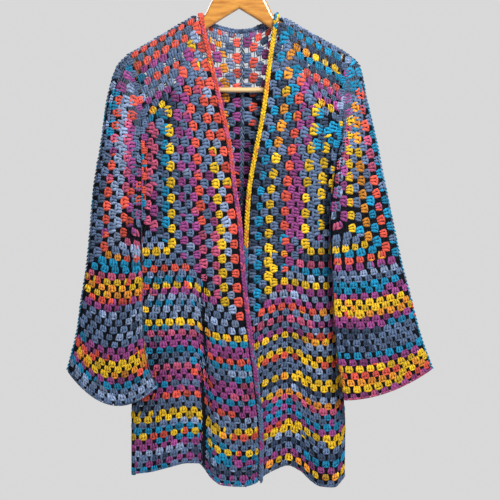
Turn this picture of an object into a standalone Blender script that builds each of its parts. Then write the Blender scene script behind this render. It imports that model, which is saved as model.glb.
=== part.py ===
"""A granny square cardigan on its wooden clothes hanger.

Metres, +Z up. The front of the garment faces -Y, and right and left are the wearer's own.
The origin is the inside of the hook's crown, where it bears on the rail or peg that it hangs from.

The garment is two crocheted hexagons. Each is folded round the underarm into an L, so that one
leg of the L is half of the body and the other leg is a sleeve. They meet in seams over the
shoulders and down the middle of the back. Straight rows lengthen the body, rounds lengthen the
sleeves, and a corded band finishes the front edges and the neck. Every panel below is one wall of
that cloth, laid out on a front view (x, z) and given its depth (y) by the hanger and the folds.
"""

import math
from collections import namedtuple

import bmesh
import bpy
from mathutils import Matrix

# ---------------------------------------------------------------------------------------------
# Driving dimensions
# ---------------------------------------------------------------------------------------------

CLOTH = 0.0035  # thickness of the crocheted wall
SEAM = 0.0003  # gap between two pieces that meet
FOLD_GAP = 0.0021  # gap between the middles of two walls that meet at a folded edge
JOIN = 0.0012  # gap between the middles of two walls joined edge to edge

BAND_RADIUS = 0.0036  # corded edging of the fronts and neck
BAND_GAP = 0.0008  # gap between the edging and a wall's edge
EASE = 0.0007  # extra room where a bent band passes a wall
BAND_WIDTH = 2 * BAND_RADIUS + BAND_GAP  # how far the edging stands out from a front
BAND_BENDS = 0.03  # share of a front's height where its edging starts to bend over the shoulder
BAND_CUTS = 30
NECK_TURN = 0.016  # how far in from the shoulder seam the neck's edging is level with its edge
NECK_BACK = 0.012  # how far below its edge the back has the depth that the edging takes
NECK_CUTS = 10

HANGER_THICK = 0.014
HANGER_ROUND = 0.0055  # rounding of the wood's edges
HANGER_TOP = -0.070  # height of the wood's hump, under the hook
BAR_RADIUS = 0.0047
BAR_HEIGHT = -0.2755
BAR_HALF = 0.2065  # half the length of the trouser bar
WIRE_RADIUS = 0.0019
HOOK_INSIDE = 0.021  # inner radius of the hook
HOOK_SOCKET = 0.014  # how deep the hook's shank goes into the wood
HOOK_STARTS = -30.0  # degrees round the crook, from the wearer's left, where its circle starts
HOOK_ENDS = 205.0
HOOK_CUTS = 22
HOOK_NECK_FOOT = -0.056  # height where the wire leaves its upright shank
HOOK_NECK_REACH = 0.93  # share of the way out that the bent neck reaches before the circle
HOOK_NECK_CUTS = 5
WIRE_SIDES = 2  # rings in a quarter of a cord's or wire's round section

UNDERARM_PART = 0.0022  # how far body and sleeve each stand off their crease under the arm
PART_FROM = 0.6  # share of the armhole where that starts
SLEEVE_PART_ENDS = 0.08  # share of the sleeve where it ends
TOP_SHAPE_ENDS = 0.4  # share of a back's height where the shape of its top has died away
SLEEVE_FLATTENS = 0.2  # share of the sleeve where it has its own depth
EDGE_ROLL = 0.0100  # radius of the bend along a seam or folded side
ARM_SHARE = 0.152  # share of a panel's height that the armhole takes
LAST_RING = 0.67  # share of its height where the hexagon ends and the straight rows start
LAST_SLEEVE_RING = 0.72  # share of a sleeve's length where the hexagon ends

WAVE_STARTS = 0.47  # share of the height where the rows start to wave

SIDES_BACK = 0.006  # how far the sleeves push the folded sides back
SIDES_BACK_FROM = -0.34  # height where that starts
SIDES_BACK_REACH = 0.05  # how far in from the side it is felt
FOLDS_REACH = 0.03  # how far from a rolled edge a fold has its full depth
RIGHT_LIES_OUT = 0.0045  # how far the overlapping front stands out
LEFT_LIES_IN = 0.0055  # how far the front under it stands back
OVERLAP_FROM = -0.40  # height where the fronts start to overlap
OVERLAP_REACH = 0.045  # how far from a front edge that is felt

BODY_COLUMNS = 13  # cuts across a body panel, besides those along its rolled edge
BODY_CUTS = 8  # cuts down a body panel between the underarm and the last ring
SKIRT_CUTS = 7  # cuts down the straight rows
SLEEVE_CUTS = 8
CUFF_CUTS = 5


def table(columns, *rows):
    """A short table whose rows are read by the names of its columns."""
    row = namedtuple("row", columns)
    return [row(*values) for values in rows]


# Half the depth of the body, from its middle plane to the middle of a wall.
BODY_DEPTH = table(
    "z half",
    (-0.120, 0.0114),
    (-0.300, 0.0116),
    (-0.380, 0.0135),
    (-0.500, 0.0165),
    (-0.750, 0.0190),
    (-1.030, 0.0200),
)
SLEEVE_DEPTH = 0.0108

# The hem, from the wearer's right side to the left.
HEM = table(
    "x z",
    (-0.203, -0.998),
    (-0.166, -0.994),
    (-0.130, -0.984),
    (-0.097, -0.976),
    (-0.076, -0.977),
    (-0.063, -0.991),
    (-0.050, -1.006),
    (-0.032, -1.017),
    (0.008, -1.020),
    (0.030, -1.014),
    (0.048, -0.999),
    (0.067, -0.989),
    (0.092, -0.982),
    (0.114, -0.991),
    (0.133, -1.008),
    (0.151, -1.019),
    (0.178, -1.022),
    (0.199, -1.003),
)

# The back's upper edge between the two shoulder seams.
BACK_NECK = table(
    "x z",
    (-0.0775, -0.1355),
    (-0.054, -0.153),
    (-0.028, -0.162),
    (0.000, -0.167),
    (0.021, -0.165),
    (0.043, -0.156),
    (0.0765, -0.138),
)

# The seam down the middle of the back.
BACK_SEAM = table(
    "share x z",
    (0.00, 0.006, -0.1665),
    (LAST_RING, 0.004, -0.728),
    (1.00, 0.000, -1.016),
)

Side = namedtuple("Side", "name sign neck shoulder underarm front_edge side_edge sleeve")

RIGHT = Side(
    name="right",
    sign=-1,
    neck=(-0.0775, -0.1355),
    shoulder=(-0.208, -0.211),
    underarm=(-0.1790, -0.331),
    # Outer line of the finished front edge, by its share of the front's height.
    front_edge=table(
        "share x z",
        (0.000, -0.0690, -0.1360),
        (0.095, -0.0510, -0.218),
        (0.190, -0.0310, -0.304),
        (0.283, -0.0130, -0.390),
        (0.367, -0.0040, -0.465),
        (0.450, 0.0065, -0.541),
        (0.536, 0.0115, -0.619),
        (LAST_RING, 0.0245, -0.740),
        (0.760, 0.0355, -0.821),
        (0.900, 0.0460, -0.942),
        (1.000, 0.0440, -1.018),
    ),
    # The folded side of the body, from the underarm to the hem.
    side_edge=table(
        "share x z",
        (ARM_SHARE, -0.1768, -0.331),
        (0.190, -0.1785, -0.360),
        (0.234, -0.1815, -0.3905),
        (0.361, -0.1860, -0.484),
        (0.514, -0.1905, -0.596),
        (LAST_RING, -0.1960, -0.708),
        (0.839, -0.2025, -0.858),
        (1.000, -0.2030, -0.998),
    ),
    # The sleeve's seam edge and folded edge. sag is how far the middle of a round hangs down.
    sleeve=table(
        "share seam_x seam_z fold_x fold_z sag",
        (0.00, -0.2080, -0.211, -0.1790, -0.331, 0.000),
        (0.08, -0.2280, -0.232, -0.1835, -0.362, 0.000),
        (0.20, -0.2470, -0.299, -0.1825, -0.418, 0.000),
        (0.35, -0.2575, -0.377, -0.1820, -0.475, 0.000),
        (0.50, -0.2710, -0.460, -0.1815, -0.531, 0.002),
        (0.62, -0.2780, -0.544, -0.1810, -0.578, 0.004),
        (LAST_SLEEVE_RING, -0.2845, -0.611, -0.1805, -0.618, 0.008),
        (0.80, -0.2940, -0.671, -0.1795, -0.682, 0.017),
        (0.88, -0.3025, -0.733, -0.1770, -0.748, 0.032),
        (0.94, -0.3110, -0.768, -0.1690, -0.791, 0.041),
        (1.00, -0.3205, -0.804, -0.1530, -0.832, 0.048),
    ),
)

LEFT = Side(
    name="left",
    sign=1,
    neck=(0.0765, -0.1380),
    shoulder=(0.200, -0.207),
    underarm=(0.1925, -0.327),
    front_edge=table(
        "share x z",
        (0.000, 0.0680, -0.1385),
        (0.095, 0.0550, -0.218),
        (0.190, 0.0445, -0.304),
        (0.283, 0.0285, -0.390),
        (0.367, 0.0150, -0.469),
        (0.450, 0.0105, -0.542),
        (0.536, 0.0085, -0.619),
        (LAST_RING, 0.0060, -0.736),
        (0.850, 0.0060, -0.880),
        (1.000, 0.0080, -1.012),
    ),
    side_edge=table(
        "share x z",
        (ARM_SHARE, 0.1903, -0.327),
        (0.200, 0.1870, -0.362),
        (0.245, 0.1835, -0.396),
        (0.312, 0.1795, -0.447),
        (0.400, 0.1775, -0.512),
        (0.495, 0.1785, -0.578),
        (0.610, 0.1840, -0.671),
        (LAST_RING, 0.1870, -0.712),
        (0.850, 0.1980, -0.868),
        (0.900, 0.2000, -0.906),
        (1.000, 0.1990, -1.003),
    ),
    sleeve=table(
        "share seam_x seam_z fold_x fold_z sag",
        (0.00, 0.2000, -0.207, 0.1925, -0.327, 0.000),
        (0.08, 0.2245, -0.231, 0.1935, -0.362, 0.000),
        (0.20, 0.2380, -0.293, 0.1845, -0.404, 0.000),
        (0.35, 0.2560, -0.372, 0.1765, -0.456, 0.000),
        (0.50, 0.2745, -0.465, 0.1700, -0.516, 0.002),
        (0.62, 0.2890, -0.536, 0.1705, -0.568, 0.003),
        (LAST_SLEEVE_RING, 0.3025, -0.600, 0.1740, -0.618, 0.006),
        (0.80, 0.3190, -0.662, 0.1765, -0.680, 0.008),
        (0.88, 0.3340, -0.723, 0.1805, -0.742, 0.010),
        (0.94, 0.3475, -0.765, 0.1860, -0.798, 0.012),
        (1.00, 0.3610, -0.800, 0.1955, -0.856, 0.014),
    ),
)

# How far a sleeve hangs in front of the hanger's plane, at its seam and at its folded edge.
SLEEVE_FORWARD = table(
    "share seam fold",
    (0.00, 0.000, 0.000),
    (0.08, 0.001, 0.005),
    (0.13, 0.003, 0.010),
    (0.22, 0.005, 0.025),
    (0.35, 0.007, 0.033),
    (0.62, 0.011, 0.036),
    (1.00, 0.015, 0.040),
)

# Soft folds: a line down the cloth from top to foot. out is how far it stands out, and a valley
# is negative. wide is half the width over which it dies away.
FOLD_COLUMNS = "top_x top_z foot_x foot_z wide out"
FRONT_FOLDS = table(
    FOLD_COLUMNS,
    (-0.0670, -0.560, -0.0640, -1.020, 0.011, -0.0095),
    (-0.0300, -0.520, -0.0240, -1.020, 0.026, 0.0055),
    (-0.1180, -0.640, -0.1080, -1.020, 0.022, 0.0045),
    (-0.1500, -0.360, -0.1600, -0.900, 0.014, -0.0035),
    (0.0920, -0.600, 0.0920, -1.020, 0.020, -0.0085),
    (0.0560, -0.520, 0.0480, -1.020, 0.018, 0.0050),
    (0.1420, -0.480, 0.1560, -1.020, 0.024, 0.0060),
    (0.1300, -0.330, 0.1250, -0.640, 0.012, -0.0030),
)
BACK_FOLDS = table(
    FOLD_COLUMNS,
    (-0.1300, -0.420, -0.1350, -1.020, 0.020, 0.0060),
    (-0.0920, -0.480, -0.0900, -1.020, 0.014, -0.0060),
    (-0.0400, -0.380, -0.0480, -1.020, 0.020, 0.0050),
    (0.0520, -0.440, 0.0560, -1.020, 0.018, -0.0060),
    (0.0950, -0.400, 0.1020, -1.020, 0.022, 0.0065),
    (0.1500, -0.560, 0.1480, -1.020, 0.014, -0.0050),
)
FOLD_FADES = 0.14  # length over which a fold grows from nothing

# Where a panel is cut into rows and columns: close together along a rolled edge.
ROLLED_EDGE = (0.0, 0.007, 0.024, 0.055)
ARMHOLE_EDGE = (0.0, 0.02, 0.06)
ARM_ROWS = (0.0, 0.010, 0.035, 0.080, 0.17, 0.32, 0.50, 0.68, 0.83, 0.92, 0.965, 0.990, 1.0)


# ---------------------------------------------------------------------------------------------
# Curves through the tables
# ---------------------------------------------------------------------------------------------


def slopes(keys, values):
    """The slope at each point of a smooth curve that never overshoots its table."""
    secants = [
        (values[i + 1] - values[i]) / (keys[i + 1] - keys[i]) for i in range(len(keys) - 1)
    ]
    inner = [
        0.0 if before * after <= 0 else 2 * before * after / (before + after)
        for before, after in zip(secants, secants[1:])
    ]
    return [secants[0], *inner, secants[-1]]


def read(rows, key, column, at):
    """A column's value on the smooth curve through a table, where its key column is at."""
    keys = [getattr(row, key) for row in rows]
    values = [getattr(row, column) for row in rows]
    if keys[0] > keys[-1]:
        keys.reverse()
        values.reverse()
    at = min(max(at, keys[0]), keys[-1])
    i = max(j for j in range(len(keys) - 1) if keys[j] <= at)
    slope = slopes(keys, values)
    span = keys[i + 1] - keys[i]
    t = (at - keys[i]) / span
    return (
        values[i] * (1 + 2 * t) * (1 - t) ** 2
        + slope[i] * span * t * (1 - t) ** 2
        + values[i + 1] * t * t * (3 - 2 * t)
        + slope[i + 1] * span * t * t * (t - 1)
    )


def mix(low, high, share):
    return low + (high - low) * share


def ramp(value):
    """0 below 0, 1 above 1, and a smooth step between."""
    t = min(max(value, 0.0), 1.0)
    return t * t * (3 - 2 * t)


def distance(x, z, line):
    """The distance from a point of the front view to a line through several points."""
    nearest = math.inf
    for (x0, z0), (x1, z1) in zip(line, line[1:]):
        along_x = x1 - x0
        along_z = z1 - z0
        t = ((x - x0) * along_x + (z - z0) * along_z) / (along_x**2 + along_z**2)
        t = min(max(t, 0.0), 1.0)
        nearest = min(nearest, math.hypot(x - x0 - t * along_x, z - z0 - t * along_z))
    return nearest


def rolled(away):
    """How much of its full depth cloth has, this far from the edge where it bends over."""
    t = min(away / EDGE_ROLL, 1.0)
    return math.sqrt(1 - (1 - t) ** 2)


# ---------------------------------------------------------------------------------------------
# The cloth on the front view
# ---------------------------------------------------------------------------------------------


def seam_line(side):
    """The seam from the neck over the shoulder and down the sleeve."""
    return [side.neck] + [(row.seam_x, row.seam_z) for row in side.sleeve]


def sleeve_fold_line(side):
    return [(row.fold_x, row.fold_z) for row in side.sleeve]


def side_line(side):
    return [(row.x, row.z) for row in side.side_edge]


def outer_edge(side, share):
    """A panel's edge away from the middle: the armhole, then the folded side."""
    if share <= ARM_SHARE:
        t = share / ARM_SHARE
        x = mix(side.shoulder[0], side.underarm[0], t)
        z = mix(side.shoulder[1], side.underarm[1], t)
        return x - side.sign * UNDERARM_PART * ramp((t - PART_FROM) / (1 - PART_FROM)), z
    return (
        read(side.side_edge, "share", "x", share),
        read(side.side_edge, "share", "z", share),
    )


def row_wave(share):
    return max(0.0, (share - WAVE_STARTS) / (1 - WAVE_STARTS)) ** 0.7


def front_place(side, across, share):
    """A point of a front: across is 0 at the side and 1 at the front edge."""
    x0, z0 = outer_edge(side, share)
    x1 = read(side.front_edge, "share", "x", share) + side.sign * BAND_WIDTH
    z1 = read(side.front_edge, "share", "z", share)
    foot_x = mix(
        side.side_edge[-1].x, side.front_edge[-1].x + side.sign * BAND_WIDTH, across
    )
    foot_z = mix(side.side_edge[-1].z, side.front_edge[-1].z, across)
    drop = read(HEM, "x", "z", foot_x) - foot_z
    return mix(x0, x1, across), mix(z0, z1, across) + drop * row_wave(share)


def back_top(side, x):
    """The height of a back's upper edge: the shoulder seam, then the neck."""
    if abs(x) > abs(side.neck[0]):
        t = (x - side.neck[0]) / (side.shoulder[0] - side.neck[0])
        return mix(side.neck[1], side.shoulder[1], t)
    return read(BACK_NECK, "x", "z", x)


def back_place(side, across, share):
    """A point of a back: across is 0 at the side and 1 at the seam in the middle."""
    x0, z0 = outer_edge(side, share)
    x1 = read(BACK_SEAM, "share", "x", share) + side.sign * SEAM / 2
    z1 = read(BACK_SEAM, "share", "z", share)
    top_x = mix(side.shoulder[0], BACK_SEAM[0].x, across)
    rise = back_top(side, top_x) - mix(side.shoulder[1], BACK_SEAM[0].z, across)
    foot_x = mix(side.side_edge[-1].x, BACK_SEAM[-1].x, across)
    drop = read(HEM, "x", "z", foot_x) - mix(side.side_edge[-1].z, BACK_SEAM[-1].z, across)
    z = mix(z0, z1, across) + rise * (1 - ramp(share / TOP_SHAPE_ENDS)) + drop * row_wave(share)
    return mix(x0, x1, across), z


def sleeve_place(side, across, share):
    """A point of a sleeve: across is 0 at its seam and 1 at its folded edge."""
    seam_x = read(side.sleeve, "share", "seam_x", share)
    seam_z = read(side.sleeve, "share", "seam_z", share)
    fold_x = read(side.sleeve, "share", "fold_x", share)
    fold_z = read(side.sleeve, "share", "fold_z", share)
    sag = read(side.sleeve, "share", "sag", share) * 4 * across * (1 - across)
    apart = side.sign * UNDERARM_PART * across * (1 - ramp(share / SLEEVE_PART_ENDS))
    return mix(seam_x, fold_x, across) + apart, mix(seam_z, fold_z, across) - sag


# ---------------------------------------------------------------------------------------------
# The depth of the cloth
# ---------------------------------------------------------------------------------------------


def folds(rows, x, z):
    """How far the folds of a table lift the cloth at a point of the front view."""
    lift = 0.0
    for fold in rows:
        down = (fold.top_z - z) / (fold.top_z - fold.foot_z)
        middle = mix(fold.top_x, fold.foot_x, min(max(down, 0.0), 1.0))
        grown = ramp((fold.top_z - z) / FOLD_FADES)
        lift += fold.out * grown * math.exp(-(((x - middle) / fold.wide) ** 2))
    return lift


def body_middle(side, x, z):
    """The body's middle plane: the sleeves push its sides back a little."""
    away = distance(x, z, side_line(side))
    near = math.exp(-((away / SIDES_BACK_REACH) ** 2))
    return SIDES_BACK * near * ramp((SIDES_BACK_FROM - z) / FOLD_FADES)


def body_half(side, x, z):
    full = read(BODY_DEPTH, "z", "half", z)
    return full * rolled(distance(x, z, seam_line(side))) * rolled(
        distance(x, z, side_line(side))
    )


def inner_share(side, x, z):
    """1 in the middle of the cloth and 0 on its rolled edges, where folds die away."""
    away = min(distance(x, z, seam_line(side)), distance(x, z, side_line(side)))
    return ramp(away / FOLDS_REACH)


def overlap_step(side, x, z):
    """Below the neckline the right front lies on the left one."""
    edge = read(side.front_edge, "z", "x", z)
    near = math.exp(-(((x - edge) / OVERLAP_REACH) ** 2))
    step = RIGHT_LIES_OUT if side is RIGHT else -LEFT_LIES_IN
    return step * near * ramp((OVERLAP_FROM - z) / FOLD_FADES)


def front_depth(side, x, z):
    half = body_half(side, x, z)
    lift = (folds(FRONT_FOLDS, x, z) + overlap_step(side, x, z)) * inner_share(side, x, z)
    return body_middle(side, x, z) - FOLD_GAP / 2 - half - lift


def back_depth(side, x, z):
    half = body_half(side, x, z)
    lift = folds(BACK_FOLDS, x, z) * inner_share(side, x, z)
    return body_middle(side, x, z) + FOLD_GAP / 2 + half + lift


def sleeve_depth(side, across, share, layer):
    """The depth of a sleeve's front layer (-1) or back layer (1)."""
    x, z = sleeve_place(side, across, share)
    forward = mix(
        read(SLEEVE_FORWARD, "share", "seam", share),
        read(SLEEVE_FORWARD, "share", "fold", share),
        across,
    )
    half = mix(read(BODY_DEPTH, "z", "half", z), SLEEVE_DEPTH, ramp(share / SLEEVE_FLATTENS))
    half *= rolled(distance(x, z, seam_line(side)))
    half *= rolled(distance(x, z, sleeve_fold_line(side)))
    return layer * (FOLD_GAP / 2 + half) - forward


# ---------------------------------------------------------------------------------------------
# Making the pieces
# ---------------------------------------------------------------------------------------------


def clear_scene():
    for item in list(bpy.data.objects):
        bpy.data.objects.remove(item, do_unlink=True)


def collection(name):
    made = bpy.data.collections.new(name)
    bpy.context.scene.collection.children.link(made)
    return made


def principled(name, colour, roughness, metallic=0.0):
    material = bpy.data.materials.new(name)
    material.use_nodes = True
    shader = material.node_tree.nodes["Principled BSDF"]
    shader.inputs["Base Color"].default_value = (*colour, 1.0)
    shader.inputs["Roughness"].default_value = roughness
    shader.inputs["Metallic"].default_value = metallic
    return material


def file_under(item, home, material):
    for old in list(item.users_collection):
        old.objects.unlink(item)
    home.objects.link(item)
    item.data.materials.clear()
    item.data.materials.append(material)


def shares(start, rolls, end, count):
    """Where a panel is cut between two shares, closer together along its rolled edge."""
    cuts = [mix(start, end, cut) for cut in rolls]
    for i in range(1, count + 1):
        cuts.append(mix(start, end, mix(rolls[-1], 1.0, i / count)))
    return cuts


def panel(name, columns, rows, place, home, material):
    """One wall of cloth: a grid laid out by place(column, row), then thickened both ways."""
    bpy.ops.mesh.primitive_grid_add(
        x_subdivisions=len(columns) - 1, y_subdivisions=len(rows) - 1, size=1.0
    )
    cloth = bpy.context.object
    cloth.name = name
    cloth.data.name = name
    for point in cloth.data.vertices:
        column = round((point.co.x + 0.5) * (len(columns) - 1))
        row = round((point.co.y + 0.5) * (len(rows) - 1))
        point.co = place(columns[column], rows[row])
    cloth.data.shade_smooth()
    wall = cloth.modifiers.new("Cloth", "SOLIDIFY")
    wall.thickness = CLOTH
    wall.offset = 0.0
    wall.use_even_offset = False
    file_under(cloth, home, material)
    return cloth


def front_point(side):
    def place(across, share):
        x, z = front_place(side, across, share)
        return x, front_depth(side, x, z), z

    return place


def back_point(side):
    def place(across, share):
        x, z = back_place(side, across, share)
        return x, back_depth(side, x, z), z

    return place


def sleeve_point(side, layer):
    def place(across, share):
        x, z = sleeve_place(side, across, share)
        return x, sleeve_depth(side, across, share, layer), z

    return place


def body_panels(side, home, material):
    """The hexagon's front and back, and the straight rows below them."""
    side_gap = JOIN / 2 / abs(side.shoulder[0])
    row_gap = JOIN / 2 / (side.shoulder[1] - side.front_edge[-1].z)
    columns = shares(side_gap, ROLLED_EDGE, 1.0, BODY_COLUMNS)
    arm = [ARM_SHARE * cut for cut in ARM_ROWS]
    below = shares(ARM_SHARE, (0.0,), LAST_RING - row_gap, BODY_CUTS)[1:]
    skirt = shares(LAST_RING + row_gap, (0.0,), 1.0, SKIRT_CUTS)
    for layer, point in (("front", front_point(side)), ("back", back_point(side))):
        panel(f"{side.name}_{layer}", columns, arm + below, point, home, material)
        panel(f"{side.name}_{layer}_rows", columns, skirt, point, home, material)


def sleeve_panels(side, home, material):
    """The hexagon's sleeve and the rounds below it, each as a front and a back layer."""
    gap = JOIN / 2 / (side.sleeve[0].seam_z - side.sleeve[-1].seam_z)
    rings = shares(gap, ARMHOLE_EDGE, LAST_SLEEVE_RING - gap, SLEEVE_CUTS)
    rounds = shares(LAST_SLEEVE_RING + gap, (0.0,), 1.0, CUFF_CUTS)
    for layer, way in (("front", -1), ("back", 1)):
        point = sleeve_point(side, way)
        panel(f"{side.name}_sleeve_{layer}", ARM_ROWS, rings, point, home, material)
        panel(f"{side.name}_sleeve_{layer}_rounds", ARM_ROWS, rounds, point, home, material)


def tube(name, points, radius, home, material):
    """A round cord or wire along a line of points, with closed ends."""
    data = bpy.data.curves.new(name, "CURVE")
    data.dimensions = "3D"
    data.bevel_depth = radius
    data.bevel_resolution = WIRE_SIDES
    data.use_fill_caps = True
    spline = data.splines.new("POLY")
    spline.points.add(len(points) - 1)
    for knot, point in zip(spline.points, points):
        knot.co = (*point, 1.0)
    item = bpy.data.objects.new(name, data)
    home.objects.link(item)
    data.materials.append(material)
    return item


# The band's way over the top of a shoulder, from its middle: inward to the neck, depth, and height
# over the neck's edge.
OVER_FRONT = table(
    "inward depth up",
    (0.0, SEAM / 2, 0.0062),
    (0.0, 0.0020, 0.0062),
    (0.0, 0.0070, 0.0044),
    (0.0010, 0.0108, -0.0002),
    (0.0030, 0.0128, -0.0060),
)
OVER_BACK = table(
    "inward depth up",
    (0.0, SEAM / 2, 0.0062),
    (0.0, 0.0020, 0.0062),
    (0.0020, 0.0050, 0.0070),
    (0.0045, 0.0088, 0.0056),
    (0.0078, 0.0120, 0.0052),
)


def band_place(side, share):
    """The middle of the corded band beside a front edge."""
    x, z = front_place(side, 1.0, share)
    middle = x - side.sign * (BAND_RADIUS + BAND_GAP)
    return middle, front_depth(side, x, z), z


def over_shoulder(side, row, way):
    edge = side.front_edge[0].x + side.sign * BAND_RADIUS
    x = edge - side.sign * row.inward
    return x, way * row.depth, read(BACK_NECK, "x", "z", x) + row.up


def front_bands(home, materials):
    """A corded band up each front edge, to the top of the shoulder."""
    for side in (RIGHT, LEFT):
        cuts = [mix(1.0, BAND_BENDS, i / BAND_CUTS) for i in range(BAND_CUTS + 1)]
        points = [band_place(side, cut) for cut in cuts]
        points += [over_shoulder(side, row, -1) for row in reversed(OVER_FRONT)]
        tube(f"{side.name}_band", points, BAND_RADIUS, home, materials[side.name])


def neck_band(home, material):
    """The same band round the back of the neck."""
    right_end = [over_shoulder(RIGHT, row, 1) for row in OVER_BACK]
    left_end = [over_shoulder(LEFT, row, 1) for row in reversed(OVER_BACK)]
    across = []
    for i in range(NECK_CUTS + 1):
        x = mix(RIGHT.neck[0] + NECK_TURN, LEFT.neck[0] - NECK_TURN, i / NECK_CUTS)
        z = read(BACK_NECK, "x", "z", x) + BAND_RADIUS + BAND_GAP + EASE
        side = RIGHT if x < BACK_SEAM[0].x else LEFT
        across.append((x, back_depth(side, x, z - NECK_BACK), z))
    tube("neck_band", right_end + across + left_end, BAND_RADIUS, home, material)


# The wood's outline from the middle of its hump to the middle underneath, on the left half.
HANGER_OUTLINE = table(
    "x z",
    (0.000, HANGER_TOP),
    (0.018, -0.0725),
    (0.034, -0.0830),
    (0.045, -0.0970),
    (0.054, -0.1130),
    (0.0615, -0.1290),
    (0.0700, -0.1430),
    (0.100, -0.1570),
    (0.190, -0.2080),
    (0.203, -0.2170),
    (0.2115, -0.2260),
    (0.2160, -0.2400),
    (0.2175, -0.2600),
    (0.2165, -0.2830),
    (0.2110, -0.2900),
    (0.2010, -0.2900),
    (0.1960, -0.2830),
    (0.1950, -0.2620),
    (0.1850, -0.2400),
    (0.1700, -0.2275),
    (0.0617, -0.1610),
    (0.0250, -0.1375),
    (0.000, -0.1225),
)


def bore_cutter(name, radius, half, height, home):
    """An upright cylinder, a seam's gap larger than the piece that its hole takes."""
    bpy.ops.mesh.primitive_cylinder_add(
        vertices=20, radius=radius + SEAM, depth=2 * (half + SEAM), location=(0, 0, height)
    )
    bore = bpy.context.object
    bore.name = name
    for old in list(bore.users_collection):
        old.objects.unlink(bore)
    home.objects.link(bore)
    bore.hide_render = True
    bore.display_type = "WIRE"
    return bore


def hanger_wood(home, cutters, material):
    """The shaped wooden arms: a flat outline with rounded edges, bored for the bar and hook."""
    right_half = [(row.x, row.z) for row in HANGER_OUTLINE]
    left_half = [(-x, z) for x, z in reversed(right_half[1:-1])]
    data = bpy.data.curves.new("hanger_outline", "CURVE")
    data.dimensions = "2D"
    data.fill_mode = "BOTH"
    data.extrude = HANGER_THICK / 2 - HANGER_ROUND
    data.bevel_depth = HANGER_ROUND
    data.bevel_resolution = WIRE_SIDES
    data.offset = -HANGER_ROUND
    outline = right_half + left_half
    spline = data.splines.new("POLY")
    spline.points.add(len(outline) - 1)
    for knot, (x, z) in zip(spline.points, outline):
        knot.co = (x, z, 0.0, 1.0)
    spline.use_cyclic_u = True
    flat = bpy.data.objects.new("hanger_outline", data)
    home.objects.link(flat)
    depsgraph = bpy.context.evaluated_depsgraph_get()
    mesh = bpy.data.meshes.new_from_object(flat.evaluated_get(depsgraph))
    bpy.data.objects.remove(flat, do_unlink=True)
    solid = bmesh.new()
    solid.from_mesh(mesh)
    bmesh.ops.remove_doubles(solid, verts=solid.verts, dist=0.00001)
    bmesh.ops.rotate(solid, verts=solid.verts, matrix=Matrix.Rotation(math.pi / 2, 3, "X"))
    bmesh.ops.recalc_face_normals(solid, faces=solid.faces)
    solid.to_mesh(mesh)
    solid.free()
    mesh.materials.clear()
    mesh.materials.append(material)
    wood = bpy.data.objects.new("hanger_wood", mesh)
    home.objects.link(wood)
    bar_bore = bore_cutter("bar_bore", BAR_RADIUS, BAR_HALF, BAR_HEIGHT, cutters)
    bar_bore.data.transform(Matrix.Rotation(math.pi / 2, 4, "Y"))
    hook_bore = bore_cutter("hook_bore", WIRE_RADIUS, HOOK_SOCKET, HANGER_TOP, cutters)
    for bore in (bar_bore, hook_bore):
        cut = wood.modifiers.new(bore.name, "BOOLEAN")
        cut.operation = "DIFFERENCE"
        cut.solver = "EXACT"
        cut.object = bore
    return wood


def hanger_bar(home, material):
    bpy.ops.mesh.primitive_cylinder_add(
        vertices=20, radius=BAR_RADIUS, depth=2 * BAR_HALF, location=(0, 0, BAR_HEIGHT)
    )
    bar = bpy.context.object
    bar.name = "hanger_bar"
    bar.data.transform(Matrix.Rotation(math.pi / 2, 4, "Y"))
    file_under(bar, home, material)
    return bar


def hanger_hook(home, material):
    """A wire that rises from the wood and turns over in a crook, open to the right."""
    bend = HOOK_INSIDE + WIRE_RADIUS
    centre = -HOOK_INSIDE
    first = math.radians(HOOK_STARTS)
    last = math.radians(HOOK_ENDS)
    start_x = bend * math.cos(first)
    start_z = centre + bend * math.sin(first)
    points = [(0.0, 0.0, HANGER_TOP - HOOK_SOCKET), (0.0, 0.0, HANGER_TOP)]
    for i in range(HOOK_NECK_CUTS):
        t = i / HOOK_NECK_CUTS
        points.append((start_x * HOOK_NECK_REACH * ramp(t), 0.0, mix(HOOK_NECK_FOOT, start_z, t)))
    for i in range(HOOK_CUTS + 1):
        angle = mix(first, last, i / HOOK_CUTS)
        points.append((bend * math.cos(angle), 0.0, centre + bend * math.sin(angle)))
    return tube("hanger_hook", points, WIRE_RADIUS, home, material)


def main():
    clear_scene()
    garment = collection("Granny square cardigan")
    cutters = collection("Cutters")
    cotton = principled("Slate cotton", (0.20, 0.27, 0.36), 0.85)
    bands = {
        "right": principled("Coral cotton", (0.80, 0.17, 0.14), 0.85),
        "left": principled("Yellow cotton", (0.92, 0.66, 0.06), 0.85),
    }
    wood = principled("Honey varnished wood", (0.62, 0.30, 0.08), 0.30)
    pale = principled("Pale bar wood", (0.85, 0.62, 0.28), 0.45)
    steel = principled("Bright steel", (0.75, 0.76, 0.78), 0.22, 1.0)
    for side in (RIGHT, LEFT):
        body_panels(side, garment, cotton)
        sleeve_panels(side, garment, cotton)
    front_bands(garment, bands)
    neck_band(garment, cotton)
    hanger_wood(garment, cutters, wood)
    hanger_bar(garment, pale)
    hanger_hook(garment, steel)


main()
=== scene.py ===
# %% [markdown]
# # A granny square cardigan on its hanger
#
# The cardigan is two crocheted hexagons of self-striping yarn, folded into an L each, with straight
# rows added below for the skirt and rounds for the lower sleeves. Every row is a line of small
# clusters, three tall stitches in one hole, with a dark gap between one cluster and the next.
#
# The lesson goes from the ground to the detail. First come the camera, the floor and the light,
# then the yarn. After that the walls of cloth are laid out on a simple chart, and the clusters are
# set along the rows of that chart. The edgings, the seams and the hanger's own finishes come last.

import math
import random
from collections import namedtuple

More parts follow.
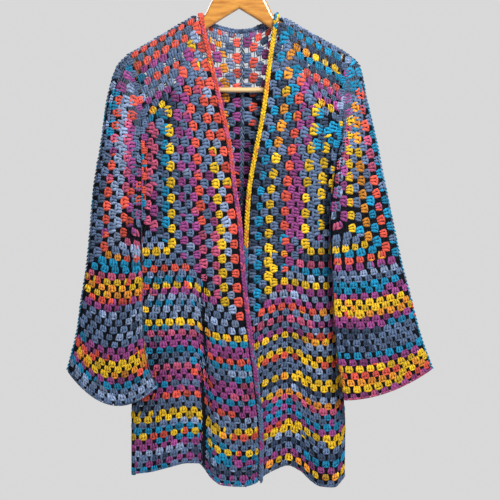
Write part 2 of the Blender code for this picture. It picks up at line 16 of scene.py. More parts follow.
import bmesh
import bpy
import numpy as np
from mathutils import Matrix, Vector


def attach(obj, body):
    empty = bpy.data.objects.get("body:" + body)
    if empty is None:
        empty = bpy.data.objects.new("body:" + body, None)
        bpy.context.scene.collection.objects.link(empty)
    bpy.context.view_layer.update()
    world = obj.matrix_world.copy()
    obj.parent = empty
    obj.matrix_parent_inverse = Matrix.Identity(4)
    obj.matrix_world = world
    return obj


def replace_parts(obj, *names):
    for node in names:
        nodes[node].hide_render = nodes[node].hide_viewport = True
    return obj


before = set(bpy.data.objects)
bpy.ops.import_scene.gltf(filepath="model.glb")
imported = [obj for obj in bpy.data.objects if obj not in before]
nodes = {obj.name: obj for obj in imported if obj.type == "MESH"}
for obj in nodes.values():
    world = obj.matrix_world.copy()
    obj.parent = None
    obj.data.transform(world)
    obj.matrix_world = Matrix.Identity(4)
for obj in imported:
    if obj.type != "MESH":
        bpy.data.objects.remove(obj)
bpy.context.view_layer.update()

# %% [markdown]
# ## Where it hangs
#
# The photograph looks straight at a garment on a pale wall. A finite pale floor stands well below
# the hem, and the sky is the same pale grey, so every side of the garment can be looked at.

# %% Camera and floor
lens = bpy.data.cameras.new("Camera")
lens.lens = 100.0
lens.clip_end = 60.0
camera = bpy.data.objects.new("Camera", lens)
bpy.context.scene.collection.objects.link(camera)
camera.location = (0.0206, -2.62, -0.5775)
camera.rotation_euler = (math.pi / 2, 0.0, 0.0)
bpy.context.scene.camera = camera

bpy.ops.mesh.primitive_circle_add(
    vertices=96, radius=1.3, fill_type="NGON", location=(0.0, 0.0, -1.30)
)
floor = bpy.context.object
floor.name = "floor"
bpy.ops.object.transform_apply(location=True, rotation=True, scale=True)
print("camera:", round(-camera.location.y, 2), "m in front of the hanger")


# %% Materials and their nodes
def new_material(name, colour, roughness, metallic=0.0):
    material = bpy.data.materials.new(name)
    material.use_nodes = True
    shader = material.node_tree.nodes["Principled BSDF"]
    shader.inputs["Base Color"].default_value = (*colour, 1.0)
    shader.inputs["Roughness"].default_value = roughness
    shader.inputs["Metallic"].default_value = metallic
    return material, material.node_tree, shader


def add_node(tree, kind, feed=None, **values):
    """A node with its values set by name. feed is a socket and the input that it goes to."""
    node = tree.nodes.new(f"ShaderNode{kind}")
    for name, value in values.items():
        node.inputs[name.replace("_", " ").title()].default_value = value
    if feed:
        tree.links.new(feed[0], node.inputs[feed[1]])
    return node


def two_tones(tree, shader, amount, deep, light, start, end):
    """The surface's colour goes from deep to light as the amount grows."""
    blend = add_node(tree, "ValToRGB", (amount, "Fac"))
    for stop, colour, at in zip(blend.color_ramp.elements, (deep, light), (start, end)):
        stop.color = (*colour, 1.0)
        stop.position = at
    tree.links.new(blend.outputs["Color"], shader.inputs["Base Color"])


def relief(tree, shader, height, strength, distance):
    bump = add_node(tree, "Bump", (height, "Height"), strength=strength, distance=distance)
    tree.links.new(bump.outputs["Normal"], shader.inputs["Normal"])


floor_paint = new_material("pale floor", (0.62, 0.63, 0.64), 0.9)[0]
floor.data.materials.append(floor_paint)
print("floor:", floor_paint.name)

# %% [markdown]
# ## The light
#
# The fronts are brightest near the shoulders and grow darker towards the hem, so the key light is a
# soft square panel close to the garment, above its top and to one side. A weak fill opens the other
# side and a third panel lights the back. The sky lights the cloth less than the camera sees of it:
# a Light Path node tells the two apart.


# %% Lamps and sky
def area_light(name, place, aim, size, watts, colour=(1.0, 1.0, 1.0)):
    data = bpy.data.lights.new(name, "AREA")
    data.size = size
    data.energy = watts
    data.color = colour
    lamp = bpy.data.objects.new(name, data)
    bpy.context.scene.collection.objects.link(lamp)
    lamp.location = place
    lamp.rotation_euler = (Vector(aim) - Vector(place)).to_track_quat("-Z", "Y").to_euler()


middle = (0.0, 0.0, -0.55)
area_light("key", (0.7, -1.2, 0.75), (0.0, 0.0, -0.30), 0.8, 50.0, (1.0, 0.985, 0.96))
area_light("fill", (-2.4, -2.2, 0.1), middle, 2.2, 9.0, (0.95, 0.97, 1.0))
area_light("back", (-0.6, 2.4, 0.9), middle, 2.0, 62.0)

world = bpy.data.worlds.new("Pale grey")
bpy.context.scene.world = world
world.use_nodes = True
sky = world.node_tree
lights = sky.nodes["Background"]
lights.inputs["Color"].default_value = (0.66, 0.67, 0.68, 1.0)
lights.inputs["Strength"].default_value = 0.50
seen = add_node(sky, "Background", color=(0.69, 0.69, 0.69, 1.0))
ray = add_node(sky, "LightPath")
either = add_node(sky, "MixShader", (ray.outputs["Is Camera Ray"], "Fac"))
sky.links.new(lights.outputs["Background"], either.inputs[1])
sky.links.new(seen.outputs["Background"], either.inputs[2])
sky.links.new(either.outputs["Shader"], sky.nodes["World Output"].inputs["Surface"])
bpy.context.scene.view_settings.view_transform = "Standard"
print("lamps:", [item.name for item in bpy.data.objects if item.type == "LIGHT"])

# %% [markdown]
# ## The cloth's chart
#
# The walls of the cardigan are not flat pieces in space, but each is simple on a chart: one number
# says how far across the wall a stitch is, and one how far down. A few short tables of sizes turn
# the chart into places. Since the clusters need many thousands of points, the curves are worked out
# for whole arrays at once.

# %% Sizes of the cloth
FOLD_GAP = 0.0021  # between the front's and the back's wall, at a fold
BAND_RADIUS = 0.0036
BAND_GAP = 0.0008
BAND_WIDTH = 2 * BAND_RADIUS + BAND_GAP
EDGE_ROLL = 0.0100  # how wide a wall is rolled at a fold
ARM_SHARE = 0.152  # the underarm's share of the height
LAST_RING = 0.67  # the share of the height where the hexagon ends
LAST_SLEEVE_RING = 0.72
WAVE_STARTS = 0.47  # from here down the rows come to follow the hem's waves
TOP_SHAPE_ENDS = 0.4  # the back's rows follow the shoulders' slope down to here
SEAM = 0.0003

# Body and sleeve stand apart a little round the underarm.
UNDERARM_PART = 0.0022
PART_FROM = 0.6
SLEEVE_PART_ENDS = 0.08

# The sides hang a little behind the middle, and the right front lies over the left one.
SIDES_BACK = 0.006
SIDES_BACK_FROM = -0.34
SIDES_BACK_REACH = 0.05
RIGHT_LIES_OUT = 0.0045
LEFT_LIES_IN = 0.0055
OVERLAP_FROM = -0.40
OVERLAP_REACH = 0.045

FOLDS_REACH = 0.03  # how near a fold's line comes to a seam before it dies away
FOLD_FADES = 0.14  # how far down a fold grows to its full depth
SLEEVE_DEPTH = 0.0108
SLEEVE_FLATTENS = 0.2  # the sleeve is as deep as the body down to here
print("underarm at", ARM_SHARE, "and last ring at", LAST_RING, "of the height")


# %% Tables of the body
def table(columns, *rows):
    row = namedtuple("row", columns)
    return [row(*values) for values in rows]


# Half the depth of the body, from its middle plane to the middle of a wall.
BODY_DEPTH = table(
    "z half",
    (-0.120, 0.0114), (-0.300, 0.0116), (-0.380, 0.0135), (-0.500, 0.0165), (-0.750, 0.0190),
    (-1.030, 0.0200),
)

# The hem, from the wearer's right side to the left.
HEM = table(
    "x z",
    (-0.203, -0.998), (-0.166, -0.994), (-0.130, -0.984), (-0.097, -0.976), (-0.076, -0.977),
    (-0.063, -0.991), (-0.050, -1.006), (-0.032, -1.017), (0.008, -1.020), (0.030, -1.014),
    (0.048, -0.999), (0.067, -0.989), (0.092, -0.982), (0.114, -0.991), (0.133, -1.008),
    (0.151, -1.019), (0.178, -1.022), (0.199, -1.003),
)

# The back's upper edge between the two shoulder seams.
BACK_NECK = table(
    "x z",
    (-0.0775, -0.1355), (-0.054, -0.153), (-0.028, -0.162), (0.000, -0.167), (0.021, -0.165),
    (0.043, -0.156), (0.0765, -0.138),
)

# The seam down the middle of the back.
BACK_SEAM = table(
    "share x z",
    (0.00, 0.006, -0.1665), (LAST_RING, 0.004, -0.728), (1.00, 0.000, -1.016),
)
print("hem:", round(1000 * (HEM[-1].x - HEM[0].x)), "mm wide")

# %% The wearer's right side
# front_edge is the outer line of the finished front edge and side_edge the folded side from the
# underarm down, both by their share of the height. A sleeve has its seam edge and its folded edge,
# and sag is how far the middle of a round hangs down.
Side = namedtuple("Side", "name sign neck shoulder underarm front_edge side_edge sleeve")

RIGHT = Side(
    name="right",
    sign=-1,
    neck=(-0.0775, -0.1355),
    shoulder=(-0.208, -0.211),
    underarm=(-0.1790, -0.331),
    front_edge=table(
        "share x z",
        (0.000, -0.0690, -0.1360), (0.095, -0.0510, -0.218), (0.190, -0.0310, -0.304),
        (0.283, -0.0130, -0.390), (0.367, -0.0040, -0.465), (0.450, 0.0065, -0.541),
        (0.536, 0.0115, -0.619), (LAST_RING, 0.0245, -0.740), (0.760, 0.0355, -0.821),
        (0.900, 0.0460, -0.942), (1.000, 0.0440, -1.018),
    ),
    side_edge=table(
        "share x z",
        (ARM_SHARE, -0.1768, -0.331), (0.190, -0.1785, -0.360), (0.234, -0.1815, -0.3905),
        (0.361, -0.1860, -0.484), (0.514, -0.1905, -0.596), (LAST_RING, -0.1960, -0.708),
        (0.839, -0.2025, -0.858), (1.000, -0.2030, -0.998),
    ),
    sleeve=table(
        "share seam_x seam_z fold_x fold_z sag",
        (0.00, -0.2080, -0.211, -0.1790, -0.331, 0.000),
        (0.08, -0.2280, -0.232, -0.1835, -0.362, 0.000),
        (0.20, -0.2470, -0.299, -0.1825, -0.418, 0.000),
        (0.35, -0.2575, -0.377, -0.1820, -0.475, 0.000),
        (0.50, -0.2710, -0.460, -0.1815, -0.531, 0.002),
        (0.62, -0.2780, -0.544, -0.1810, -0.578, 0.004),
        (LAST_SLEEVE_RING, -0.2845, -0.611, -0.1805, -0.618, 0.008),
        (0.80, -0.2940, -0.671, -0.1795, -0.682, 0.017),
        (0.88, -0.3025, -0.733, -0.1770, -0.748, 0.032),
        (0.94, -0.3110, -0.768, -0.1690, -0.791, 0.041),
        (1.00, -0.3205, -0.804, -0.1530, -0.832, 0.048),
    ),
)
print("right front edge:", len(RIGHT.front_edge), "points")

# %% The wearer's left side
LEFT = Side(
    name="left",
    sign=1,
    neck=(0.0765, -0.1380),
    shoulder=(0.200, -0.207),
    underarm=(0.1925, -0.327),
    front_edge=table(
        "share x z",
        (0.000, 0.0680, -0.1385), (0.095, 0.0550, -0.218), (0.190, 0.0445, -0.304),
        (0.283, 0.0285, -0.390), (0.367, 0.0150, -0.469), (0.450, 0.0105, -0.542),
        (0.536, 0.0085, -0.619), (LAST_RING, 0.0060, -0.736), (0.850, 0.0060, -0.880),
        (1.000, 0.0080, -1.012),
    ),
    side_edge=table(
        "share x z",
        (ARM_SHARE, 0.1903, -0.327), (0.200, 0.1870, -0.362), (0.245, 0.1835, -0.396),
        (0.312, 0.1795, -0.447), (0.400, 0.1775, -0.512), (0.495, 0.1785, -0.578),
        (0.610, 0.1840, -0.671), (LAST_RING, 0.1870, -0.712), (0.850, 0.1980, -0.868),
        (0.900, 0.2000, -0.906), (1.000, 0.1990, -1.003),
    ),
    sleeve=table(
        "share seam_x seam_z fold_x fold_z sag",
        (0.00, 0.2000, -0.207, 0.1925, -0.327, 0.000),
        (0.08, 0.2245, -0.231, 0.1935, -0.362, 0.000),
        (0.20, 0.2380, -0.293, 0.1845, -0.404, 0.000),
        (0.35, 0.2560, -0.372, 0.1765, -0.456, 0.000),
        (0.50, 0.2745, -0.465, 0.1700, -0.516, 0.002),
        (0.62, 0.2890, -0.536, 0.1705, -0.568, 0.003),
        (LAST_SLEEVE_RING, 0.3025, -0.600, 0.1740, -0.618, 0.006),
        (0.80, 0.3190, -0.662, 0.1765, -0.680, 0.008),
        (0.88, 0.3340, -0.723, 0.1805, -0.742, 0.010),
        (0.94, 0.3475, -0.765, 0.1860, -0.798, 0.012),
        (1.00, 0.3610, -0.800, 0.1955, -0.856, 0.014),
    ),
)
print("left front edge:", len(LEFT.front_edge), "points")

# %% How far the cloth stands out
# How far a sleeve hangs in front of the hanger's plane, at its seam and at its folded edge.
SLEEVE_FORWARD = table(
    "share seam fold",
    (0.00, 0.000, 0.000), (0.08, 0.001, 0.005), (0.13, 0.003, 0.010), (0.22, 0.005, 0.025),
    (0.35, 0.007, 0.033), (0.62, 0.011, 0.036), (1.00, 0.015, 0.040),
)

# Soft folds: a line down the cloth from top to foot. out is how far it stands out, and a valley
# is negative. wide is half the width over which it dies away.
FOLD_COLUMNS = "top_x top_z foot_x foot_z wide out"
FRONT_FOLDS = table(
    FOLD_COLUMNS,
    (-0.0670, -0.560, -0.0640, -1.020, 0.011, -0.0095),
    (-0.0300, -0.520, -0.0240, -1.020, 0.026, 0.0055),
    (-0.1180, -0.640, -0.1080, -1.020, 0.022, 0.0045),
    (-0.1500, -0.360, -0.1600, -0.900, 0.014, -0.0035),
    (0.0920, -0.600, 0.0920, -1.020, 0.020, -0.0085),
    (0.0560, -0.520, 0.0480, -1.020, 0.018, 0.0050),
    (0.1420, -0.480, 0.1560, -1.020, 0.024, 0.0060),
    (0.1300, -0.330, 0.1250, -0.640, 0.012, -0.0030),
)
BACK_FOLDS = table(
    FOLD_COLUMNS,
    (-0.1300, -0.420, -0.1350, -1.020, 0.020, 0.0060),
    (-0.0920, -0.480, -0.0900, -1.020, 0.014, -0.0060),
    (-0.0400, -0.380, -0.0480, -1.020, 0.020, 0.0050),
    (0.0520, -0.440, 0.0560, -1.020, 0.018, -0.0060),
    (0.0950, -0.400, 0.1020, -1.020, 0.022, 0.0065),
    (0.1500, -0.560, 0.1480, -1.020, 0.014, -0.0050),
)
print("soft folds:", len(FRONT_FOLDS), "in front and", len(BACK_FOLDS), "behind")


# %% Curves through the tables
def read(rows, column, at, key=None):
    """A column's value on the smooth curve through a table, where its first column is at."""
    keys = np.array([getattr(row, key or row._fields[0]) for row in rows])
    values = np.array([getattr(row, column) for row in rows])
    if keys[0] > keys[-1]:
        keys = keys[::-1]
        values = values[::-1]
    secants = np.diff(values) / np.diff(keys)
    before, after = secants[:-1], secants[1:]
    total = np.where(before + after == 0, 1.0, before + after)
    inner = np.where(before * after <= 0, 0.0, 2 * before * after / total)
    slope = np.concatenate([secants[:1], inner, secants[-1:]])
    at = np.clip(at, keys[0], keys[-1])
    i = np.clip(np.searchsorted(keys, at, side="right") - 1, 0, len(keys) - 2)
    span = keys[i + 1] - keys[i]
    t = (at - keys[i]) / span
    return (
        values[i] * (1 + 2 * t) * (1 - t) ** 2
        + slope[i] * span * t * (1 - t) ** 2
        + values[i + 1] * t * t * (3 - 2 * t)
        + slope[i + 1] * span * t * t * (t - 1)
    )


def mix(start, end, share):
    return start + (end - start) * share


def ramp(value):
    t = np.clip(value, 0.0, 1.0)
    return t * t * (3 - 2 * t)


def distance(x, z, line):
    """The distance from points of the front view to a line through several points."""
    nearest = np.full(np.shape(x), 9.0)
    for (x0, z0), (x1, z1) in zip(line, line[1:]):
        along_x, along_z = x1 - x0, z1 - z0
        t = ((x - x0) * along_x + (z - z0) * along_z) / (along_x**2 + along_z**2)
        t = np.clip(t, 0.0, 1.0)
        nearest = np.minimum(nearest, np.hypot(x - x0 - t * along_x, z - z0 - t * along_z))
    return nearest


def rolled(away):
    t = np.minimum(away / EDGE_ROLL, 1.0)
    return np.sqrt(np.maximum(1 - (1 - t) ** 2, 0.0))


print("the hem's middle hangs at", round(float(read(HEM, "z", 0.0)), 3))


# %% Places on the front view
def seam_line(side):
    return [side.neck] + [(row.seam_x, row.seam_z) for row in side.sleeve]


def sleeve_fold_line(side):
    return [(row.fold_x, row.fold_z) for row in side.sleeve]


def side_line(side):
    return [(row.x, row.z) for row in side.side_edge]


def outer_edge(side, share):
    t = np.clip(share / ARM_SHARE, 0.0, 1.0)
    part = side.sign * UNDERARM_PART * ramp((t - PART_FROM) / (1 - PART_FROM))
    arm_x = mix(side.shoulder[0], side.underarm[0], t) - part
    arm_z = mix(side.shoulder[1], side.underarm[1], t)
    below = share > ARM_SHARE
    x = np.where(below, read(side.side_edge, "x", share), arm_x)
    z = np.where(below, read(side.side_edge, "z", share), arm_z)
    return x, z


def row_wave(share):
    return np.maximum(0.0, (share - WAVE_STARTS) / (1 - WAVE_STARTS)) ** 0.7


def hung(side, across, share, x1, z1, foot):
    """Places from the outer edge to an inner one. Towards the foot the rows follow the hem."""
    x0, z0 = outer_edge(side, share)
    corner = side.side_edge[-1]
    drop = read(HEM, "z", mix(corner.x, foot[0], across)) - mix(corner.z, foot[1], across)
    return mix(x0, x1, across), mix(z0, z1, across) + drop * row_wave(share)


def front_place(side, across, share):
    band, foot = side.sign * BAND_WIDTH, side.front_edge[-1]
    x1, z1 = read(side.front_edge, "x", share) + band, read(side.front_edge, "z", share)
    return hung(side, across, share, x1, z1, (foot.x + band, foot.z))


def back_top(side, x):
    t = (x - side.neck[0]) / (side.shoulder[0] - side.neck[0])
    seam = mix(side.neck[1], side.shoulder[1], t)
    return np.where(np.abs(x) > abs(side.neck[0]), seam, read(BACK_NECK, "z", x))


def back_place(side, across, share):
    x1, z1 = read(BACK_SEAM, "x", share) + side.sign * SEAM / 2, read(BACK_SEAM, "z", share)
    x, z = hung(side, across, share, x1, z1, (BACK_SEAM[-1].x, BACK_SEAM[-1].z))
    top_x = mix(side.shoulder[0], BACK_SEAM[0].x, across)
    rise = back_top(side, top_x) - mix(side.shoulder[1], BACK_SEAM[0].z, across)
    return x, z + rise * (1 - ramp(share / TOP_SHAPE_ENDS))


def sleeve_place(side, across, share):
    columns = ("seam_x", "seam_z", "fold_x", "fold_z", "sag")
    x0, z0, x1, z1, sag = (read(side.sleeve, column, share) for column in columns)
    sag = sag * 4 * across * (1 - across)
    apart = side.sign * UNDERARM_PART * across * (1 - ramp(share / SLEEVE_PART_ENDS))
    return mix(x0, x1, across) + apart, mix(z0, z1, across) - sag


print("left cuff:", np.round(sleeve_place(LEFT, np.array([0.0, 1.0]), np.ones(2)), 3).tolist())


# %% Depth of the cloth
def folds(rows, x, z):
    lift = 0.0
    for fold in rows:
        down = (fold.top_z - z) / (fold.top_z - fold.foot_z)
        centre = mix(fold.top_x, fold.foot_x, np.clip(down, 0.0, 1.0))
        grown = ramp((fold.top_z - z) / FOLD_FADES)
        lift = lift + fold.out * grown * np.exp(-(((x - centre) / fold.wide) ** 2))
    return lift


def body_middle(side, x, z):
    near = np.exp(-((distance(x, z, side_line(side)) / SIDES_BACK_REACH) ** 2))
    return SIDES_BACK * near * ramp((SIDES_BACK_FROM - z) / FOLD_FADES)


def body_half(side, x, z):
    half = read(BODY_DEPTH, "half", z) * rolled(distance(x, z, seam_line(side)))
    return half * rolled(distance(x, z, side_line(side)))


def inner_share(side, x, z):
    away = np.minimum(distance(x, z, seam_line(side)), distance(x, z, side_line(side)))
    return ramp(away / FOLDS_REACH)


def overlap_step(side, x, z):
    edge = read(side.front_edge, "x", z, key="z")
    near = np.exp(-(((x - edge) / OVERLAP_REACH) ** 2))
    step = RIGHT_LIES_OUT if side is RIGHT else -LEFT_LIES_IN
    return step * near * ramp((OVERLAP_FROM - z) / FOLD_FADES)


print("deepest fold:", max(abs(fold.out) for fold in FRONT_FOLDS + BACK_FOLDS))


# %% From the chart to the walls
def body_point(side, way, across, share):
    if way < 0:
        x, z = front_place(side, across, share)
        lift = folds(FRONT_FOLDS, x, z) + overlap_step(side, x, z)
    else:
        x, z = back_place(side, across, share)
        lift = folds(BACK_FOLDS, x, z)
    out = FOLD_GAP / 2 + body_half(side, x, z) + lift * inner_share(side, x, z)
    return np.stack([x, body_middle(side, x, z) + way * out, z], -1)


def sleeve_point(side, way, across, share):
    x, z = sleeve_place(side, across, share)
    seam, fold = (read(SLEEVE_FORWARD, edge, share) for edge in ("seam", "fold"))
    half = mix(read(BODY_DEPTH, "half", z), SLEEVE_DEPTH, ramp(share / SLEEVE_FLATTENS))
    half = half * rolled(distance(x, z, seam_line(side)))
    half = half * rolled(distance(x, z, sleeve_fold_line(side)))
    return np.stack([x, way * (FOLD_GAP / 2 + half) - mix(seam, fold, across), z], -1)


def wall_of(side, layer):
    """The places of one wall, and which way is out of it: -1 to the front, 1 to the back."""
    way = -1.0 if layer.endswith("front") else 1.0
    point = sleeve_point if layer.startswith("sleeve") else body_point
    return (lambda a, b: point(side, way, a, b)), way


def place_at(place, a, b):
    return place(np.array([a]), np.array([b]))[0]


print("middle of the right front:", np.round(place_at(wall_of(RIGHT, "front")[0], 0.5, 0.5), 3))

# %% Slopes of a wall
STEP = 0.0015  # how far apart on the chart the two places are that give a slope


def with_normals(place, way, a, b):
    """Places on a wall and the directions straight out of it."""
    here = place(np.clip(a, 0, 1), np.clip(b, 0, 1))
    a = np.clip(a, STEP, 1 - STEP)
    b = np.clip(b, STEP, 1 - STEP)
    along = place(a + STEP, b) - place(a - STEP, b)
    down = place(a, b + STEP) - place(a, b - STEP)
    out = np.cross(along, down)
    out /= np.maximum(np.linalg.norm(out, axis=-1, keepdims=True), 1e-12)
    facing = np.sign(out[..., 1:2]) * way
    return here, out * np.where(facing == 0, 1.0, facing)


out = with_normals(*wall_of(LEFT, "sleeve_back"), np.array([0.5]), np.array([0.5]))[1]
print("the left sleeve's back looks", np.round(out[0], 2))

# %% [markdown]
# ## The yarn
#
# Self-striping yarn changes colour slowly along its length, so a whole row mostly has one colour,
# and here and there a cluster is caught in the change and has two. Each cluster therefore carries
# its own colour in an attribute, and one material reads it. The material adds what the eye sees
# close up: the slanting plies, painted shade that darkens the colour in the grooves between them,
# and a soft fuzz along the edges.

# %% Colours of the yarn, by a letter each
YARN = {
    "s": (0.125, 0.195, 0.350),  # slate
    "S": (0.290, 0.390, 0.610),  # light steel
    "d": (0.040, 0.068, 0.135),  # dark slate
    "p": (0.370, 0.070, 0.285),  # plum
    "k": (0.640, 0.110, 0.230),  # pink
    "c": (0.880, 0.115, 0.075),  # coral
    "o": (0.950, 0.360, 0.035),  # orange
    "t": (0.006, 0.290, 0.540),  # teal
    "y": (0.960, 0.600, 0.020),  # golden yellow
}
random.seed(7)
print("yarn colours:", len(YARN))


# %% The yarn's material
def yarn_material():
    material, tree, shader = new_material("self-striping yarn", (0.2, 0.2, 0.2), 0.86)
    tint = add_node(tree, "Attribute")
    tint.attribute_name = "Yarn"
    place = add_node(tree, "TexCoord")
    uneven = add_node(
        tree, "TexNoise", (place.outputs["Object"], "Vector"), scale=260.0, detail=3.0
    )
    spread = add_node(
        tree, "MapRange", (uneven.outputs["Fac"], "Value"),
        from_min=0.3, from_max=0.7, to_min=0.52, to_max=1.30,
    )
    plies = add_node(
        tree, "TexWave", (place.outputs["UV"], "Vector"), scale=1500.0, distortion=1.2, detail=1.0
    )
    plies.wave_type = "BANDS"
    plies.bands_direction = "DIAGONAL"
    # Painted shade: the colour darkens in the grooves between the plies.
    between = add_node(
        tree, "MapRange", (plies.outputs["Fac"], "Value"), to_min=0.72, to_max=1.08
    )
    both = add_node(tree, "Math", (spread.outputs["Result"], 0))
    both.operation = "MULTIPLY"
    tree.links.new(between.outputs["Result"], both.inputs[1])
    shade = add_node(tree, "VectorMath", (tint.outputs["Color"], 0))
    shade.operation = "SCALE"
    tree.links.new(both.outputs[0], shade.inputs["Scale"])
    tree.links.new(shade.outputs[0], shader.inputs["Base Color"])
    relief(tree, shader, plies.outputs["Fac"], 0.55, 0.0006)
    shader.inputs["Sheen Weight"].default_value = 0.05
    shader.inputs["Sheen Roughness"].default_value = 0.5
    shader.inputs["Specular IOR Level"].default_value = 0.25
    return material


yarn = yarn_material()
print("material:", yarn.name)

# %% [markdown]
# ## The ground
#
# Between the clusters the eye falls on the loose strands that join them and on the shade inside
# the garment. A thin near-black wall on each panel's own form stands for both, so its colour is
# painted shade over the inner strands. It is a plane grid whose points are laid on the chart, then
# thickened with Solidify. On the fronts it starts below the hanger's bar, so that the wood can be
# seen through the net on the shoulders.


# %% The ground's material
def ground_material(name, deep, light):
    material, tree, shader = new_material(name, deep, 0.95)
    place = add_node(tree, "TexCoord")
    strands = add_node(
        tree, "TexNoise", (place.outputs["Object"], "Vector"), scale=420.0, detail=4.0
    )
    two_tones(tree, shader, strands.outputs["Fac"], deep, light, 0.40, 0.75)
    relief(tree, shader, strands.outputs["Fac"], 1.0, 0.0008)
    shader.inputs["Specular IOR Level"].default_value = 0.05
    return material


# Painted shade: a near-black sheet for the shade inside the garment, standing also for the inner
# strands.
painted_shade = ground_material("shaded inner strands", (0.0015, 0.002, 0.003), (0.016, 0.019, 0.028))
strand = ground_material("slate joining strands", (0.060, 0.085, 0.130), (0.150, 0.200, 0.300))
print("materials:", painted_shade.name, "and", strand.name)


# %% Steps that every piece takes
def grid(name, columns, rows):
    bpy.ops.mesh.primitive_grid_add(x_subdivisions=columns, y_subdivisions=rows, size=1.0)
    item = bpy.context.object
    item.name = name
    item.data.name = name
    return item


def apply_modifier(item, kind, **values):
    modifier = item.modifiers.new(kind.lower(), kind)
    for name, value in values.items():
        setattr(modifier, name, value)
    bpy.context.view_layer.objects.active = item
    bpy.ops.object.modifier_apply(modifier=modifier.name)


def face_outward(data):
    """Turns every closed shell's faces outward, and gives their whole area."""
    shell = bmesh.new()
    shell.from_mesh(data)
    bmesh.ops.recalc_face_normals(shell, faces=shell.faces)
    area = sum(face.calc_area() for face in shell.faces)
    shell.to_mesh(data)
    shell.free()
    return area


def finished(item, material, slot="crochet"):
    """Gives a piece its material, and says that it rides on the garment."""
    item.data.materials.append(material)
    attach(item, "root")
    return item


def take_model(item):
    """The points and faces of a model, which then goes."""
    points = np.empty(3 * len(item.data.vertices))
    item.data.vertices.foreach_get("co", points)
    faces = [tuple(face.vertices) for face in item.data.polygons]
    bpy.data.objects.remove(item, do_unlink=True)
    return points.reshape(-1, 3), faces


GROUND = 0.0008  # thickness of the ground
print("ground:", 1000 * GROUND, "mm thick")


# %% One panel's ground
def ground(node, side, layer, top, foot, columns=26, rows=44):
    """A thin wall of painted shade between two shares of a panel's height, and its area."""
    place, way = wall_of(side, layer)
    cloth = grid(f"{node}_ground", columns, rows)
    co = np.empty(3 * len(cloth.data.vertices))
    cloth.data.vertices.foreach_get("co", co)
    co = co.reshape(-1, 3) + 0.5
    # The columns of the grid stand a little closer together towards the edges.
    eased = np.sin(co[:, 0] * math.pi / 2) ** 2 * 0.3 + co[:, 0] * 0.7
    across = mix(0.001, 0.9995, eased)
    here, _ = with_normals(place, way, across, mix(top, foot, co[:, 1]))
    cloth.data.vertices.foreach_set("co", here.astype(np.float32).ravel())
    cloth.data.update()
    cloth.data.shade_smooth()
    apply_modifier(cloth, "SOLIDIFY", thickness=GROUND, offset=0.0)
    area = face_outward(cloth.data) / 2
    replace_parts(finished(cloth, painted_shade), node)
    return cloth, area


# %% [markdown]
# ## The open net over the shoulders
#
# Over the shoulders the light comes through the holes, and the hanger shows in them. There the
# clusters are joined by a net instead of a ground: a grid with about a line for every row and every
# cluster, whose lines the Wireframe modifier turns into strands.

# %% The net of a panel's top
NET_STRAND = 0.0022  # thickness of a strand of the net


def net(name, side, layer, foot, columns=17, rows=9):
    """Strands along and across a panel, from its top to a share of its height."""
    place, _ = wall_of(side, layer)
    strands = grid(f"{name}_net", columns, rows)
    for point in strands.data.vertices:
        across, down = mix(0.004, 0.996, point.co.x + 0.5), mix(0.004, foot, point.co.y + 0.5)
        point.co = place_at(place, across, down)
    apply_modifier(strands, "WIREFRAME", thickness=NET_STRAND, use_even_offset=False)
    strands.data.shade_smooth()
    return finished(strands, strand)


# What goes with each panel's ground besides its clusters.
extras = {
    f"{side.name}_{layer}": [net(f"{side.name}_{layer}", side, layer, foot)]
    for side in (RIGHT, LEFT)
    for layer, foot in (("front", 0.117), ("back", 0.132), ("sleeve_front", 0.112))
}
print("nets:", len(extras))

# %% [markdown]
# ## One cluster
#
# Three tall stitches share one hole and lean apart a little, and a short chain lies over their
# heads. Plump balls stretched into spindles give the stitches, and another one the chain. The
# cluster is modelled once, flat and one unit wide and high, with only a few dozen faces, because
# it is repeated thousands of times.

# %% A spindle of yarn
BARREL = 1.2  # how far the outer rings of a post's points are moved out, so that its ends are blunt


def spindle(place, size, turn=0.0):
    bpy.ops.mesh.primitive_uv_sphere_add(
        segments=4, ring_count=4, radius=0.5, location=place, rotation=(0, turn, 0)
    )
    item = bpy.context.object
    for point in item.data.vertices:
        if abs(point.co.z) < 0.4:
            point.co.z *= BARREL
    item.scale = size
    bpy.ops.object.transform_apply(location=True, rotation=True, scale=True)
    return item


# %% Modelling the cluster
SPREAD = 0.31  # how far the outer posts stand from the middle one
LEAN = math.radians(9)

bpy.ops.object.select_all(action="DESELECT")
posts = [
    spindle((hand * SPREAD, 0.0, -0.05), (0.40, 0.36, 1.02), hand * LEAN) for hand in (-1, 0, 1)
]
parts = posts + [spindle((0.0, 0.0, 0.38), (1.08, 0.36, 0.30))]
for item in parts:
    item.select_set(True)
bpy.context.view_layer.objects.active = parts[0]
bpy.ops.object.join()
model_points, model_faces = take_model(bpy.context.object)
model_stitch = np.arange(len(model_points)) // (len(model_points) // len(parts))
print("one cluster:", len(model_points), "points,", len(model_faces), "faces")

# %% [markdown]
# ## Rows of clusters
#
# A row is a line on the chart. The clusters stand along it at their pitch, every second row by half
# a pitch further, so that a cluster always sits over the gap of the row before. A cluster's points
# are carried to the wall one by one, and so it bends with the cloth round folds and edges.

# %% A line on the chart
Spot = namedtuple("Spot", "a b way_a way_b out_a out_b wide high square letter second")


def chart_line(place, start, end, count=41):
    """A straight line of the chart: its points there, and the length so far."""
    t = np.linspace(0.0, 1.0, count)
    a, b = mix(start[0], end[0], t), mix(start[1], end[1], t)
    steps = np.linalg.norm(np.diff(place(a, b), axis=0), axis=1)
    return a, b, np.concatenate([[0.0], np.cumsum(steps)])


NEXT_COLOUR = 0.30  # how often a run of clusters has another colour than the row's usual one
CAUGHT = 0.22  # how often a cluster is caught in the yarn's change
RUN = (2, 6)  # clusters in a run, the fewest and the most


def yarn_runs(letters):
    """A row's colours as the yarn brings them: a few clusters of one and then some of another."""
    others = letters[1:] or letters
    while True:
        letter = random.choice(others) if random.random() < NEXT_COLOUR else letters[0]
        for _ in range(random.randint(*RUN)):
            yield letter, random.choice(others) if random.random() < CAUGHT else letter


